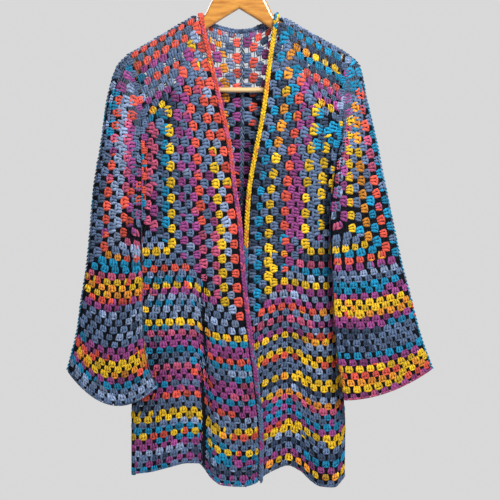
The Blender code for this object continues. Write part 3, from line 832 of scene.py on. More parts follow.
def stand(spots, line, at, outward, wide, high, square, colours):
    """One cluster on a line. square is 1 where it stands straight up on it, and 0 if it leans."""
    a, b, length = line
    way = np.array([a[-1] - a[0], b[-1] - b[0]])
    way /= np.linalg.norm(way)
    a, b = float(np.interp(at, length, a)), float(np.interp(at, length, b))
    spots.append(Spot(a, b, *way, *outward, wide, high, square, *colours))


test_line = chart_line(wall_of(RIGHT, "front")[0], (0.0, 0.8), (1.0, 0.8))
print("a row of the right front is", round(test_line[2][-1], 3), "m long")

# %% Laying rows
OUT, IN, UP, DOWN = (1.0, 0.0), (-1.0, 0.0), (0.0, -1.0), (0.0, 1.0)  # ways on the chart


def lay_row(spots, place, start, end, outward, pitch, high, letters, odd, fill=0.77):
    """Clusters along a row, counted back from its end. Every second row ends in a half one."""
    line = chart_line(place, start, end)
    runs = yarn_runs(letters)
    at = line[2][-1] - pitch * (0.24 if odd % 2 else 0.44)
    room = pitch * (0.5 if odd % 2 else 1.0)
    while at > 0.2 * pitch:
        stand(spots, line, at, outward, room * fill, high, 0.0, next(runs))
        at -= pitch * (0.74 if room < pitch else 1.0)
        room = pitch


def lay_side(spots, place, corner, end, outward, pitch, high, letters, count=None, square=1.0):
    """Clusters along one side of a ring, from its corner: the first stands right beside it.

    Where a count is given they fill the side, and stand wider apart towards its end."""
    line = chart_line(place, corner, end)
    whole = line[2][-1]
    if count is None:
        shares = (np.arange(int(whole / pitch + 0.25)) + 0.5) * pitch / whole
        wide = np.full(len(shares), pitch * 0.75)
    else:
        even = (np.arange(count) + 0.5) / count
        shares = 0.87 * even + 0.03 * even**2 + 0.10 * even**3
        wide = (0.87 + 0.06 * even + 0.30 * even**2) * whole / count * 0.68
    for share, room, colours in zip(shares, wide, yarn_runs(letters)):
        stand(spots, line, share * whole, outward, room, high, square, colours)


print("ways on the chart:", OUT, IN, UP, DOWN)


# %% One mesh of many stitches
def stitched(name, points, tints, faces, flat, slot="crochet"):
    """Many equal stitches in one mesh, with the yarn's colours and the plies' UV map."""
    count, size = points.shape[:2]
    each = np.arange(count)[:, None]
    corners = np.array([k for face in faces for k in face])
    starts = np.cumsum([0] + [len(face) for face in faces])[:-1]
    data = bpy.data.meshes.new(name)
    data.vertices.add(count * size)
    data.vertices.foreach_set("co", points.astype(np.float32).ravel())
    data.loops.add(count * len(corners))
    data.loops.foreach_set("vertex_index", (corners + each * size).ravel())
    data.polygons.add(count * len(faces))
    data.polygons.foreach_set("loop_start", (starts + each * len(corners)).ravel())
    data.update(calc_edges=True)
    colours = data.color_attributes.new("Yarn", "FLOAT_COLOR", "POINT")
    colours.data.foreach_set("color", tints.astype(np.float32).ravel())
    plies = data.uv_layers.new(name="Plies")
    plies.data.foreach_set("uv", np.tile(flat[corners], (count, 1)).astype(np.float32).ravel())
    data.validate()
    data.shade_smooth()
    face_outward(data)
    item = bpy.data.objects.new(name, data)
    bpy.context.scene.collection.objects.link(item)
    return finished(item, yarn, slot)


MODEL_PLIES = model_points[:, [0, 2]] * 0.012  # the plies' map of one cluster
STANDS = 0.01008  # a cluster's depth, for each unit of the model's depth
print("a cluster is", round(1000 * STANDS * np.ptp(model_points[:, 1]), 1), "mm thick")

# %% Carrying the clusters to a wall
UNEVEN = 0.07  # how much the clusters differ in size, and turn
TONES = 0.19  # how much they differ in tone


def chart_frames(place, spot):
    """For each spot the step on the chart that goes a metre along its row, and a metre across."""
    a, b = np.clip(spot["a"], 0.006, 0.994), np.clip(spot["b"], 0.006, 0.994)
    by_a = (place(a + STEP, b) - place(a - STEP, b)) / (2 * STEP)
    by_b = (place(a, b + STEP) - place(a, b - STEP)) / (2 * STEP)
    slopes = np.stack([by_a, by_b], -1)
    ahead = (slopes @ np.stack([spot["way_a"], spot["way_b"]], -1)[..., None])[..., 0]
    ahead /= np.linalg.norm(ahead, axis=1, keepdims=True)
    out = (slopes @ np.stack([spot["out_a"], spot["out_b"]], -1)[..., None])[..., 0]
    out -= spot["square"][:, None] * (out * ahead).sum(1, keepdims=True) * ahead
    out /= np.linalg.norm(out, axis=1, keepdims=True)
    back = np.linalg.pinv(slopes)
    return (back @ ahead[..., None])[..., 0], (back @ out[..., None])[..., 0]


def carried(place, way, spot, rng):
    """The clusters' points on the wall, each cluster a little swollen and turned."""
    count = len(spot["a"])
    x, y, z = model_points.T
    swell = 1.0 + UNEVEN * rng.standard_normal((count, 1))
    turn = UNEVEN * rng.standard_normal((count, 1))
    along = (x * np.cos(turn) + z * np.sin(turn)) * spot["wide"][:, None] * swell
    across = (z * np.cos(turn) - x * np.sin(turn)) * spot["high"][:, None] * swell
    step_w, step_h = chart_frames(place, spot)
    a = spot["a"][:, None] + along * step_w[:, :1] + across * step_h[:, :1]
    b = spot["b"][:, None] + along * step_w[:, 1:] + across * step_h[:, 1:]
    here, out = with_normals(place, way, a, b)
    return here - out * (y * STANDS * swell)[..., None]


def carry(name, side, layer, spots):
    """One piece of all a panel's clusters. The yarn's change takes a cluster's last posts."""
    place, way = wall_of(side, layer)
    spot = {key: np.array([getattr(s, key) for s in spots]) for key in Spot._fields[:9]}
    rng = np.random.default_rng(len(spots))
    points = carried(place, way, spot, rng)
    level = (1.0 + TONES * rng.standard_normal(len(spots))).clip(0.6, 1.45)[:, None]
    first = np.array([YARN[s.letter] for s in spots]) * level
    second = np.array([YARN[s.second] for s in spots]) * level
    changed = rng.integers(0, 4, len(spots))[:, None]
    uses_second = (model_stitch >= changed) & (model_stitch > 0)
    tints = np.ones((*points.shape[:2], 4))
    tints[..., :3] = np.where(uses_second[..., None], second[:, None], first[:, None])
    return stitched(name, points, tints, model_faces, MODEL_PLIES)


print("clusters differ by", UNEVEN, "in size and by", TONES, "in tone")

# %% [markdown]
# ## The hexagon and the straight rows
#
# A hexagon is worked in rings from the underarm out. Folded into an L, each ring runs over the
# shoulder, turns down the front as a column, turns again at the lower fold line and comes back to
# the side as a row. Below the last ring come the straight rows. The letters of each list are the
# yarn's colours, ring by ring or row by row: the first is the usual one, the others are what it
# changes into.

# %% Colours by ring and row
COLUMNS = {
    "right_front": "dc ck pks sd ts yyo sd ps sS pks ckp ts pks ccy Ss cyc".split(),
    "left_front": "ds dt yt sd ts yyo ps ps pks ccto td tys yyo ds ts sd".split(),
    "right_back": "ts cp sS yo ts pk ss tc pc yS st td pk os Ss cp".split(),
    "left_back": "dt ts ys sS cp tsd pc os ts yc sS st pk sd cs ps".split(),
}
SIDE_ROWS = {
    "right_front": "ts cp sS ss tS yyo sS st kc sS ts yc pk sS ts yyS sS".split(),
    "left_front": "dt yt sS ps ts yo sd kc ts sS yo pk sS pk co sS pk".split(),
    "right_back": "ts cp sS ss yo ts pk ss cy td sS pk ts oc sS tp ps".split(),
    "left_back": "dt yt sS ps ts yo sd cp pk ts yo sS td sS ck pS sS".split(),
}
SKIRT = {
    "right_front": "yo ts pk ps cp ts sS st pk pc pk ts pk cp sS sd ycs yoc sS st yc "
    "tp pt sS sd ps ts".split(),
    "left_front": "sS cp yo sS ss yo cyo sS sd ys yo sd sS yo pk ts sp ts pt cy sy "
    "sS ds ts pk yo sd".split(),
    "right_back": "ps sS yo co ts pk ss cy td ts sS pk oc yo sd sS ts pk tp cs yos sS "
    "sd pk tp sS cy".split(),
    "left_back": "sS pk yo ts ss co td pk sS oy cs ts sd sS pk tp yo cs sS ts pk sd "
    "oy ts pt sS pk".split(),
}
SLEEVE_COLUMNS = {
    "right": "sp pc ck Ss Ss ckp ts sS".split(),
    "left": "sS pk yo st yo ts ck ts".split(),
}
SLEEVE_ROWS = {
    "right": "sp pk ck Ss sS co ts ts".split(),
    "left": "sS pk ts Ss yo ts co ps".split(),
}
ROUNDS = {
    "right": "pk yc yo yo cp ps sS sS sd sS st tp pc yc yo yo cp ts sS sS sd".split(),
    "left": "sS ss tp pt pc yo yo yco cp tp ds ds sd sd ts pc yo yoc yo coy pk".split(),
}
print("words of colour in the skirt:", sum(len(words) for words in SKIRT.values()))


# %% Where a ring turns
def first_column(ring):
    """How far across the front a ring's column stands. The two innermost are squeezed together."""
    return (ring - 0.53) / 16.3 if ring > 2 else 0.030 + 0.055 * (ring - 1)


def upper_turn(ring):
    """The share of the height where a ring turns from the shoulder into its column."""
    return float(np.interp(ring, [4, 5, 6, 9, 16], [0.168, 0.153, 0.138, 0.104, 0.004]))


def lower_turn(ring):
    return 0.494 + (ring - 6) * 0.0150


def arm_crossing(ring):
    """The share of the armhole where a ring crosses it, from the shoulder down."""
    return 0.04 + (16 - ring) * 0.094 if ring >= 9 else 0.70 + (9 - ring) * 0.087


print("the last ring turns at", upper_turn(16), "and", lower_turn(16))

# %% Rows of a body panel
RINGS = 16
ROW_PITCH = 0.0202  # a cluster and its gap
COLUMN_PITCH = 0.0290
RING_HIGH = 0.0140  # the clusters of a ring's rows
STRAIGHT_HIGH = 0.0128  # and those of the straight rows
EDGE_PITCH = 0.0104  # the small stitches at the hem and the cuffs


def hexagon_spots(side, layer):
    """Each ring's column, its way over the shoulder and its row, and a last straight row."""
    place, _ = wall_of(side, layer)
    name = f"{side.name}_{layer}"
    columns, rows = COLUMNS[name], SIDE_ROWS[name]
    more, high = (3, 0.0146) if layer == "front" else (6, 0.0162)
    spots = []
    for ring in range(1, RINGS + 1):
        a, up, down = first_column(ring), upper_turn(ring), lower_turn(ring)
        letters = columns[ring - 1]
        count = ring + more if ring >= 6 else None
        lay_side(spots, place, (a, down), (a, up), OUT, COLUMN_PITCH, high, letters, count)
        if ring >= 5:
            end = (0.004, arm_crossing(ring) * ARM_SHARE)
            lay_side(spots, place, (a, up), end, UP, ROW_PITCH, RING_HIGH, letters, square=0.0)
        if ring > 2:
            corner, end, letters = (a, down), (0.004, down), rows[ring - 1]
            lay_side(spots, place, corner, end, DOWN, ROW_PITCH, RING_HIGH, letters, square=0.0)
    lay_row(spots, place, (0.004, 0.66), (0.998, 0.66), DOWN, ROW_PITCH, 0.0135, rows[RINGS], 0)
    if layer == "back":
        lay_row(spots, place, (0.70, 0.005), (0.998, 0.005), UP, 0.0150, 0.0080, "sS", 0)
    return spots


def straight_spots(side, layer, first, words, edge, ends, edge_high):
    """Straight rows or rounds, a word of colours each, and a row of small stitches at the foot."""
    place, _ = wall_of(side, layer)
    spots = []
    for row, letters in enumerate(words):
        share = mix(first, 1.0, (row + 0.5) / len(words))
        start, end = (ends[0], share), (ends[1], share)
        lay_row(spots, place, start, end, DOWN, ROW_PITCH, STRAIGHT_HIGH, letters, row + 1)
    start, end = (0.002, 0.9985), (0.998, 0.9985)
    lay_row(spots, place, start, end, DOWN, EDGE_PITCH, edge_high, edge, 0, 0.95)
    return spots


print(len(SKIRT["right_front"]), "rows of the skirt,", len(ROUNDS["right"]), "rounds of a sleeve")


# %% Rows of a sleeve
def sleeve_column(ring, down):
    return 0.05 + (16 - ring) * mix(0.094, 0.119, min(down / 0.3, 1.0))


def sleeve_turn(ring):
    """The share of the sleeve where a ring turns from its column into a round."""
    return float(np.interp(ring, [9, 11, 16], [0.50, 0.60, 0.708]))


def column_gap(place, ring, down):
    """How far a ring's column stands from the next one inside it."""
    here = place_at(place, min(sleeve_column(ring, down), 0.97), down)
    return float(np.linalg.norm(here - place_at(place, sleeve_column(ring + 1, down), down)))


def even_side(spots, place, start, end, outward, pitch, high, letters, square=1.0):
    """Clusters that fill one side of a ring at about a pitch."""
    length = chart_line(place, start, end)[2][-1]
    pitch = length / round(length / pitch)
    lay_side(spots, place, start, end, outward, pitch, high, letters, square=square)


def sleeve_ring_spots(side, layer):
    """A ring's column in two or three lengths, and its round. Odd rings end below the shoulder."""
    place, _ = wall_of(side, layer)
    columns, rounds = SLEEVE_COLUMNS[side.name], SLEEVE_ROWS[side.name]
    spots = []
    for ring in range(9, 17):
        turn, letters = sleeve_turn(ring), columns[ring - 9]
        corner = (min(sleeve_column(ring, turn), 0.93), turn)
        bend, middle, top = ((sleeve_column(ring, down), down) for down in (0.30, 0.12, 0.0))
        lengths = [(corner, bend, 0.0262, 1.0), (bend, middle, 0.0280, 1.0)]
        if ring % 2 == 0:
            lengths.append((middle, top, 0.0260, 1.5))
        for start, end, pitch, fill in lengths:
            high = column_gap(place, ring, (start[1] + end[1]) / 2) * fill
            even_side(spots, place, start, end, IN, pitch, high, letters)
        end, letters = (0.990, turn), rounds[ring - 9]
        even_side(spots, place, corner, end, DOWN, ROW_PITCH, RING_HIGH, letters, square=0.0)
    start, end, top = (0.955, 0.492), (0.955, 0.22), (sleeve_column(8, 0.0), 0.0)
    lay_side(spots, place, start, end, IN, 0.0262, 0.0140, columns[1])
    lay_side(spots, place, (0.95, 0.22), top, IN, 0.0275, 0.0120, columns[0])
    return spots


print("the rings turn into rounds from", sleeve_turn(9), "to", sleeve_turn(16), "of the sleeve")


# %% Making the panels
def panel_spots(side, layer, name):
    if name in ("front", "back"):
        return hexagon_spots(side, layer)
    if name.endswith("_rows"):
        words = SKIRT[f"{side.name}_{layer}"]
        return straight_spots(side, layer, LAST_RING, words, "sdp", (0.004, 0.998), 0.0062)
    if not name.endswith("_rounds"):
        return sleeve_ring_spots(side, layer)
    edge, words = ("sdS" if side is RIGHT else "kpc"), ROUNDS[side.name]
    return straight_spots(side, layer, LAST_SLEEVE_RING, words, edge, (0.004, 0.996), 0.0060)


# The two shares of the height between which each panel's ground lies. At the foot it ends a
# little above the last stitches.
FOOT = 0.996
PANELS = table(
    "layer name top foot",
    ("front", "front", 0.115, LAST_RING),
    ("front", "front_rows", LAST_RING, FOOT),
    ("back", "back", 0.13, LAST_RING),
    ("back", "back_rows", LAST_RING, FOOT),
    ("sleeve_front", "sleeve_front", 0.11, LAST_SLEEVE_RING),
    ("sleeve_front", "sleeve_front_rounds", LAST_SLEEVE_RING, FOOT),
    ("sleeve_back", "sleeve_back", 0.0, LAST_SLEEVE_RING),
    ("sleeve_back", "sleeve_back_rounds", LAST_SLEEVE_RING, FOOT),
)
grounds, clusters = {}, {}
for side in (RIGHT, LEFT):
    for panel in PANELS:
        node = f"{side.name}_{panel.name}"
        grounds[node], area = ground(node, side, panel.layer, panel.top, panel.foot)
        spots = panel_spots(side, panel.layer, panel.name)
        clusters[node] = carry(f"{node}_clusters", side, panel.layer, spots)
        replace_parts(clusters[node], node)
        print(f"{node}: {len(spots)} clusters, {area:.3f} m2 of ground")


# %% Stitches along a line
def even_line(points, pitch):
    """Points at an even pitch along a line, the line's direction there, and how far along."""
    points = np.asarray(points, dtype=float)
    steps = np.linalg.norm(np.diff(points, axis=0), axis=1)
    length = np.concatenate([[0.0], np.cumsum(steps)])

    def there(at):
        return np.stack([np.interp(at, length, points[:, k]) for k in range(3)], -1)

    at = np.arange(pitch / 2, length[-1], pitch)
    way = there(at + 0.004) - there(at - 0.004)
    way /= np.maximum(np.linalg.norm(way, axis=1, keepdims=True), 1e-9)
    return there(at), way, at / length[-1]


def word_at(words, share):
    return words[min(int(share * len(words)), len(words) - 1)]


def cluster_tint(pair, rng):
    """The colours of one cluster's points: its last post and its head may have the second one."""
    tint = np.where(model_stitch[:, None] > 1, YARN[pair[1]], YARN[pair[0]])
    tint = tint * rng.uniform(0.8, 1.2)
    return np.concatenate([tint, np.ones((len(tint), 1))], axis=1)


print("on a metre at a pitch of 10 mm:", len(even_line([(0, 0, 0), (0, 0, 1)], 0.01)[0]))

# %% [markdown]
# ## The crease under the arm
#
# Body and sleeve are one cloth that turns a sharp corner along the armhole and under the arm. A
# narrow strip of the near-black ground goes round inside that corner, from the body's wall to the
# sleeve's, with a few clusters on it, so the crease is closed and dark with painted shade.


# %% Lines round the armhole
CREASE_TOP, CREASE_FOOT = -0.326, -0.520  # the straight crease below the armhole


def crease(side, layer):
    """Points of a strip from the body's edge to the sleeve's, down the armhole and the crease."""
    body, way = wall_of(side, layer)
    sleeve, _ = wall_of(side, f"sleeve_{layer}")
    shares = np.linspace(ARM_SHARE, 0.60, 200)
    body_z = body(np.full(200, 0.02), shares)[:, 2]
    downs = np.linspace(0.0, 0.60, 200)
    sleeve_z = sleeve(np.full(200, 0.97), downs)[:, 2]
    rows = []
    for t in np.linspace(0.04, 0.94, 20):
        rows.append((place_at(body, 0.03, t * ARM_SHARE), place_at(sleeve, t, 0.03)))
    for z in np.linspace(CREASE_TOP, CREASE_FOOT, 26):
        share = float(np.interp(-z, -body_z, shares))
        down = float(np.interp(-z, -sleeve_z, downs))
        rows.append((place_at(body, 0.035, share), place_at(sleeve, 0.955, down)))
    return rows, way


print("levels of a crease:", len(crease(RIGHT, "front")[0]))


# %% Strips of ground
def strip_between(name, rows, sag_way=0.0):
    """A narrow wall of the ground, near-black with painted shade, from one line to another, hollow
    to the front or the back.
    """
    strip = grid(f"{name}_strip", 4, len(rows) - 1)
    for point in strip.data.vertices:
        start, end = rows[round((point.co.y + 0.5) * (len(rows) - 1))]
        t = point.co.x + 0.5
        x, y, z = mix(start, end, t)
        point.co = (x, y - sag_way * (0.0006 + 0.0048 * t * (1 - t)), z)
    strip.data.shade_smooth()
    apply_modifier(strip, "SOLIDIFY", thickness=GROUND, offset=0.0)
    # The near-black colour is painted shade for the inside of the creases and folds that the strip
    # closes.
    return finished(strip, painted_shade)


for side in (RIGHT, LEFT):
    for layer in ("front", "back"):
        name = f"{side.name}_{layer}"
        extras[name].append(strip_between(f"{name}_crease", *crease(side, layer)))
print("pieces with the panels so far:", sum(len(pieces) for pieces in extras.values()))

# %% Clusters on a strip
STRIP_PITCH = 0.0125  # from one cluster to the next, which is also their height
ZIGZAG = 0.0030  # how far they stand aside, in turn to either side


def crease_clusters(name, rows, way, words):
    """A line of clusters down the middle of a strip, one on each level."""
    line, ahead, shares = even_line([(start + end) / 2 for start, end in rows], STRIP_PITCH)
    rng = np.random.default_rng(len(line))
    x, y, z = model_points.T
    points, tints = [], []
    for i, (centre, along, share) in enumerate(zip(line, ahead, shares)):
        across = np.cross(along, np.array([0.0, way, 0.0]))
        across /= np.linalg.norm(across)
        points.append(
            centre
            + across * (ZIGZAG if i % 2 else -ZIGZAG)
            + np.outer(x * 0.0150, along)
            + np.outer(z * STRIP_PITCH, across)
            + np.outer(y * STANDS, np.cross(along, across))
        )
        tints.append(cluster_tint(next(yarn_runs(word_at(words, share))), rng))
    return stitched(name, np.array(points), np.array(tints), model_faces, MODEL_PLIES)


CREASE_COLOURS = {
    "right": "st ps sS pc st sk cp ct ck cp ct sd".split(),
    "left": "sS pt st tS ps yt ty ds ys ty dt ds".split(),
}
for side in (RIGHT, LEFT):
    for layer in ("front", "back"):
        name = f"{side.name}_{layer}"
        colours = CREASE_COLOURS[side.name]
        extras[name].append(
            crease_clusters(f"{name}_crease_clusters", *crease(side, layer), colours)
        )
print("colours down a crease:", len(colours))

# %% [markdown]
# ## The folds at the sides
#
# At the sides of the body and under the sleeves the rows go round a sharp fold, from the front to
# the back. A strip of the near-black ground, painted shade, closes that fold, and one cluster of
# every row is bent round it.

# %% Clusters bent round a fold
FOLD_PITCH = 0.0120
FOLD_WIDE = 0.0210  # a cluster's width, round the fold
FOLD_STANDS = 0.0084
BEND = 0.0024  # how sharply a cluster is bent


def fold_rows(side, front, back, a, first, last, count=40):
    """Points on the front's and on the back's wall, down a fold."""
    one, other = wall_of(side, front)[0], wall_of(side, back)[0]
    shares = np.linspace(first, last, count)
    return [(place_at(one, a, share), place_at(other, a, share)) for share in shares]


def fold_clusters(name, rows, outward, words):
    """One bent cluster a row, its middle on the fold and its ends on the front and the back."""
    line, ahead, shares = even_line([(start + end) / 2 for start, end in rows], FOLD_PITCH)
    runs = {word: yarn_runs(word) for word in words}
    rng = np.random.default_rng(len(line))
    along = model_points[:, 0] * FOLD_WIDE
    angle = np.clip(along / BEND, -math.pi / 2, math.pi / 2)
    radius = BEND + model_points[:, 1] * FOLD_STANDS
    out = radius * np.cos(angle) - np.maximum(np.abs(along) - BEND * math.pi / 2, 0.0)
    points, tints = [], []
    for centre, way, share in zip(line, ahead, shares):
        points.append(
            centre
            + np.outer(model_points[:, 2] * STRIP_PITCH, -way)
            + np.outer(out - BEND, (outward, 0.0, 0.0))
            + np.outer(radius * np.sin(angle), (0.0, 1.0, 0.0))
        )
        tints.append(cluster_tint(next(runs[word_at(words, share)]), rng))
    return stitched(name, np.array(points), np.array(tints), model_faces, MODEL_PLIES)


print("clusters are bent round a radius of", 1000 * BEND, "mm")

# %% Closing the folds
for side in (RIGHT, LEFT):
    body_words = SIDE_ROWS[f"{side.name}_front"][6:] + SKIRT[f"{side.name}_front"]
    sleeve_words = SLEEVE_ROWS[side.name] + ROUNDS[side.name]
    body_fold = fold_rows(side, "front", "back", 0.003, 0.30, 0.998)
    sleeve_fold = fold_rows(side, "sleeve_front", "sleeve_back", 0.997, 0.50, 0.998)
    for name, rows, outward, words in (
        (f"{side.name}_side_fold", body_fold, side.sign, body_words),
        (f"{side.name}_sleeve_fold", sleeve_fold, -side.sign, sleeve_words),
    ):
        extras[f"{side.name}_front"] += [
            strip_between(name, rows), fold_clusters(f"{name}_clusters", rows, outward, words)
        ]
print("pieces with each panel:", [len(pieces) for pieces in extras.values()])

# %% [markdown]
# ## The edgings and seams
#
# A narrow corded edging finishes the fronts and the neck, and the hexagons are whipped together
# along the shoulders, down the sleeves and down the middle of the back. All of these are pairs of
# plump stitches that lean against each other along a line, so one bead is modelled and set in
# pairs along each line.

# %% One bead
bpy.ops.mesh.primitive_uv_sphere_add(segments=8, ring_count=6, radius=1.0)
bead_points, bead_faces = take_model(bpy.context.object)
print("one bead:", len(bead_points), "points,", len(bead_faces), "faces")

# %% Beads along a line
BEAD_LEAN = 0.42  # how far two stitches of a pair lean apart, each way


def corded(name, points, slot, words, pitch=0.0062, size=(0.0052, 0.0023, 0.0034), apart=0.0018):
    """Two rows of leaning stitches along a line. The words are its colours from start to end."""
    line, way, shares = even_line(points, pitch)
    side_way = np.cross(way, np.array([0.0, 1.0, 0.0]))
    side_way[np.linalg.norm(side_way, axis=1) < 0.3] = (1.0, 0.0, 0.0)
    side_way /= np.linalg.norm(side_way, axis=1, keepdims=True)
    depth = np.cross(side_way, way)
    rng = np.random.default_rng(len(line))
    beads, tints = [], []
    for here, ahead, aside, deep, share in zip(line, way, side_way, depth, shares):
        for hand in (-1.0, 1.0):
            lean = hand * (BEAD_LEAN + 0.08 * rng.standard_normal())
            axis = ahead * math.cos(lean) + aside * math.sin(lean)
            cross = aside * math.cos(lean) - ahead * math.sin(lean)
            grown = 1.0 + 0.05 * rng.standard_normal()
            beads.append(
                here + aside * hand * apart + ahead * hand * pitch * 0.25
                + np.outer(bead_points[:, 2] * size[0] * grown, axis)
                + np.outer(bead_points[:, 0] * size[1] * grown, cross)
                + np.outer(bead_points[:, 1] * size[2] * grown, deep)
            )
            colour = np.array(YARN[random.choice(word_at(words, share))]) * rng.uniform(0.75, 1.25)
            tints.append(np.tile([*colour, 1.0], (len(bead_points), 1)))
    print(name, len(tints), "stitches")
    flat = bead_points[:, [2, 0]] * size[:2]
    return stitched(name, np.array(beads), np.array(tints), bead_faces, flat, slot)


# %% Over the shoulders
# The band's way over the top of a shoulder, from its middle: inward to the neck, depth, and height
# over the neck's edge.
OVER_FRONT = table(
    "inward depth up",
    (0.0, SEAM / 2, 0.0062), (0.0, 0.0020, 0.0062), (0.0, 0.0070, 0.0044),
    (0.0010, 0.0108, -0.0002), (0.0030, 0.0128, -0.0060),
)
OVER_BACK = table(
    "inward depth up",
    (0.0, SEAM / 2, 0.0062), (0.0, 0.0020, 0.0062), (0.0020, 0.0050, 0.0070),
    (0.0045, 0.0088, 0.0056), (0.0078, 0.0120, 0.0052),
)


def over_shoulder(side, row, way):
    edge = side.front_edge[0].x + side.sign * BAND_RADIUS
    x = edge - side.sign * row.inward
    return x, way * row.depth, float(read(BACK_NECK, "z", x)) + row.up


print("the bands cross the shoulders at x", RIGHT.front_edge[0].x, "and", LEFT.front_edge[0].x)


# %% The edging of the fronts and the neck
def band_line(side):
    place, _ = wall_of(side, "front")
    points = []
    for share in np.linspace(1.0, 0.03, 60):
        x, y, z = place_at(place, 1.0, share)
        points.append((x - side.sign * (BAND_RADIUS + BAND_GAP), y, z))
    return points + [over_shoulder(side, row, -1) for row in reversed(OVER_FRONT)]


def neck_line():
    points = [over_shoulder(RIGHT, row, 1) for row in OVER_BACK]
    for x in np.linspace(RIGHT.neck[0] + 0.016, LEFT.neck[0] - 0.016, 11):
        z = float(read(BACK_NECK, "z", x)) + BAND_RADIUS
        side = RIGHT if x < BACK_SEAM[0].x else LEFT
        half = float(body_half(side, np.array([x]), np.array([z - 0.012]))[0])
        points.append((x, FOLD_GAP / 2 + half, z))
    return points + [over_shoulder(LEFT, row, 1) for row in reversed(OVER_BACK)]


BAND_COLOURS = {
    "right": "s sp ps s sd sp ps sp pk p pk p pk kp p ck kp pk kc ck kc c ck kc co c ck c".split(),
    "left": "p sd st yo y sd ts sk yo y sS ts sd ts yo y yo y y yo y y y yo y y y ty".split(),
}
bands = {}
for node, line, slot, words in (
    ("right_band", band_line(RIGHT), "coral_band", BAND_COLOURS["right"]),
    ("left_band", band_line(LEFT), "yellow_band", BAND_COLOURS["left"]),
    ("neck_band", neck_line(), "slate_band", ["sS", "s", "sd", "s"]),
):
    bands[node] = corded(f"{node}_stitches", line, slot, words)
    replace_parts(bands[node], node)


# %% The seams
def sleeve_seam_line(side):
    """Over the shoulder from the neck, and down the top of the sleeve."""
    points = [
        (side.neck[0] + side.sign * 0.006, 0.0, side.neck[1] - 0.002),
        (side.shoulder[0], 0.0, side.shoulder[1] + 0.0005),
    ]
    place, _ = wall_of(side, "sleeve_front")
    for share in np.linspace(0.02, 0.995, 60):
        x, y, z = place_at(place, 0.0, share)
        points.append((x, -float(read(SLEEVE_FORWARD, "seam", share)), z))
    return points


def back_seam_line():
    place, _ = wall_of(RIGHT, "back")
    return [place_at(place, 1.0, share) for share in np.linspace(0.012, 0.995, 70)]


SEAM_COLOURS = {
    "right": "sd sS s ts tS ts td tS ts s st t".split(),
    "left": "sS s td ts t tS ts t ts ct t".split(),
    "back": ["sd", "s", "sd", "td", "sd"],
}
seams = {}
for side in (RIGHT, LEFT):
    name, words = f"{side.name}_sleeve_seam", SEAM_COLOURS[side.name]
    size = (0.0052, 0.0020, 0.0022)
    seams[name] = corded(name, sleeve_seam_line(side), "crochet", words, 0.0074, size, 0.0012)
size = (0.0062, 0.0016, 0.0024)
seams["back_seam"] = corded(
    "back_seam", back_seam_line(), "crochet", SEAM_COLOURS["back"], 0.0085, size, 0.0022
)

# %% [markdown]
# ## The panels' flat sizes
#
# This table gives every panel's width, its length and its area before the cardigan was hung,
# rounded from the printed areas. The panels with folds in them are cut wider than they look.

# %% The flat sizes
FLAT = {
    "right_front": (0.24, 0.51, 0.084),
    "right_front_rows": (0.28, 0.29, 0.069),
    "right_back": (0.25, 0.46, 0.087),
    "right_back_rows": (0.24, 0.29, 0.061),
    "right_sleeve_front": (0.145, 0.345, 0.032),
    "right_sleeve_front_rounds": (0.215, 0.245, 0.032),
    "right_sleeve_back": (0.145, 0.41, 0.035),
    "right_sleeve_back_rounds": (0.215, 0.245, 0.032),
    "left_front": (0.20, 0.50, 0.075),
    "left_front_rows": (0.23, 0.30, 0.056),
    "left_back": (0.225, 0.465, 0.082),
    "left_back_rows": (0.25, 0.30, 0.060),
    "left_sleeve_front": (0.145, 0.345, 0.033),
    "left_sleeve_front_rounds": (0.19, 0.24, 0.037),
    "left_sleeve_back": (0.145, 0.41, 0.036),
    "left_sleeve_back_rounds": (0.19, 0.24, 0.037),
}
extras["right_front"].append(bands["right_band"])
extras["left_front"].append(bands["left_band"])
extras["right_back"] += [bands["neck_band"], seams["back_seam"]]
for side in (RIGHT, LEFT):
    extras[f"{side.name}_sleeve_back"] = [seams[f"{side.name}_sleeve_seam"]]
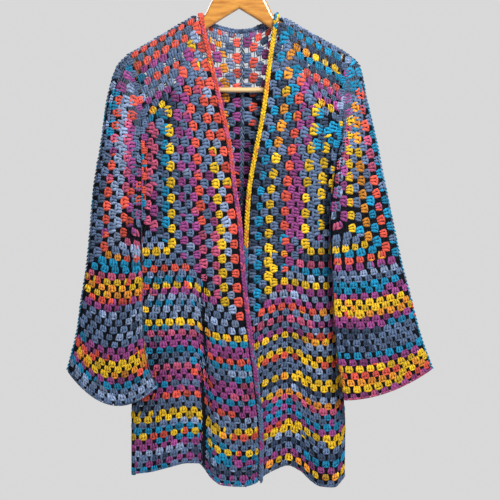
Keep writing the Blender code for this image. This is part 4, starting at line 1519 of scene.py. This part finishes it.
for node, (width, length, area) in FLAT.items():
    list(extras.get(node, []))
print("sheets:", len(FLAT), "area", round(sum(row[2] for row in FLAT.values()), 2), "m2")

# %% [markdown]
# ## The hanger
#
# The hanger's own shapes are already right, so they keep them and get a finish each: honey varnish
# over a fine straight grain for the arms, a paler dowel for the bar, and bright steel for the hook.


# %% Wood and steel
def wood_material(name, pale, deep, stretch, roughness, coat):
    material, tree, shader = new_material(name, pale, roughness)
    place = add_node(tree, "TexCoord")
    along = add_node(tree, "Mapping", (place.outputs["Object"], "Vector"), scale=stretch)
    feed = (along.outputs["Vector"], "Vector")
    grain = add_node(tree, "TexNoise", feed, scale=30.0, detail=8.0, distortion=0.6)
    two_tones(tree, shader, grain.outputs["Fac"], deep, pale, 0.36, 0.62)
    relief(tree, shader, grain.outputs["Fac"], 0.12, 0.0004)
    shader.inputs["Coat Weight"].default_value = coat
    shader.inputs["Coat Roughness"].default_value = 0.12
    return material


def steel_material():
    """Plated steel, a little uneven in its gloss."""
    material, tree, shader = new_material("plated steel", (0.72, 0.73, 0.75), 0.20, 1.0)
    place = add_node(tree, "TexCoord")
    drawn = add_node(tree, "TexNoise", (place.outputs["Object"], "Vector"), scale=600.0)
    rough = add_node(tree, "MapRange", (drawn.outputs["Fac"], "Value"), to_min=0.14, to_max=0.30)
    tree.links.new(rough.outputs["Result"], shader.inputs["Roughness"])
    return material


HONEY, HONEY_GRAIN = (0.60, 0.27, 0.045), (0.38, 0.14, 0.02)
PALE, PALE_GRAIN = (0.72, 0.51, 0.25), (0.56, 0.37, 0.16)
finishes = {
    "hanger_wood": wood_material(
        "honey varnished wood", HONEY, HONEY_GRAIN, (0.5, 4.0, 4.0), 0.26, 0.7
    ),
    "hanger_bar": wood_material(
        "pale varnished dowel", PALE, PALE_GRAIN, (0.4, 6.0, 6.0), 0.34, 0.4
    ),
    "hanger_hook": steel_material(),
}
for node, finish in finishes.items():
    nodes[node].data.materials.clear()
    nodes[node].data.materials.append(finish)
print("finishes:", ", ".join(finish.name for finish in finishes.values()))
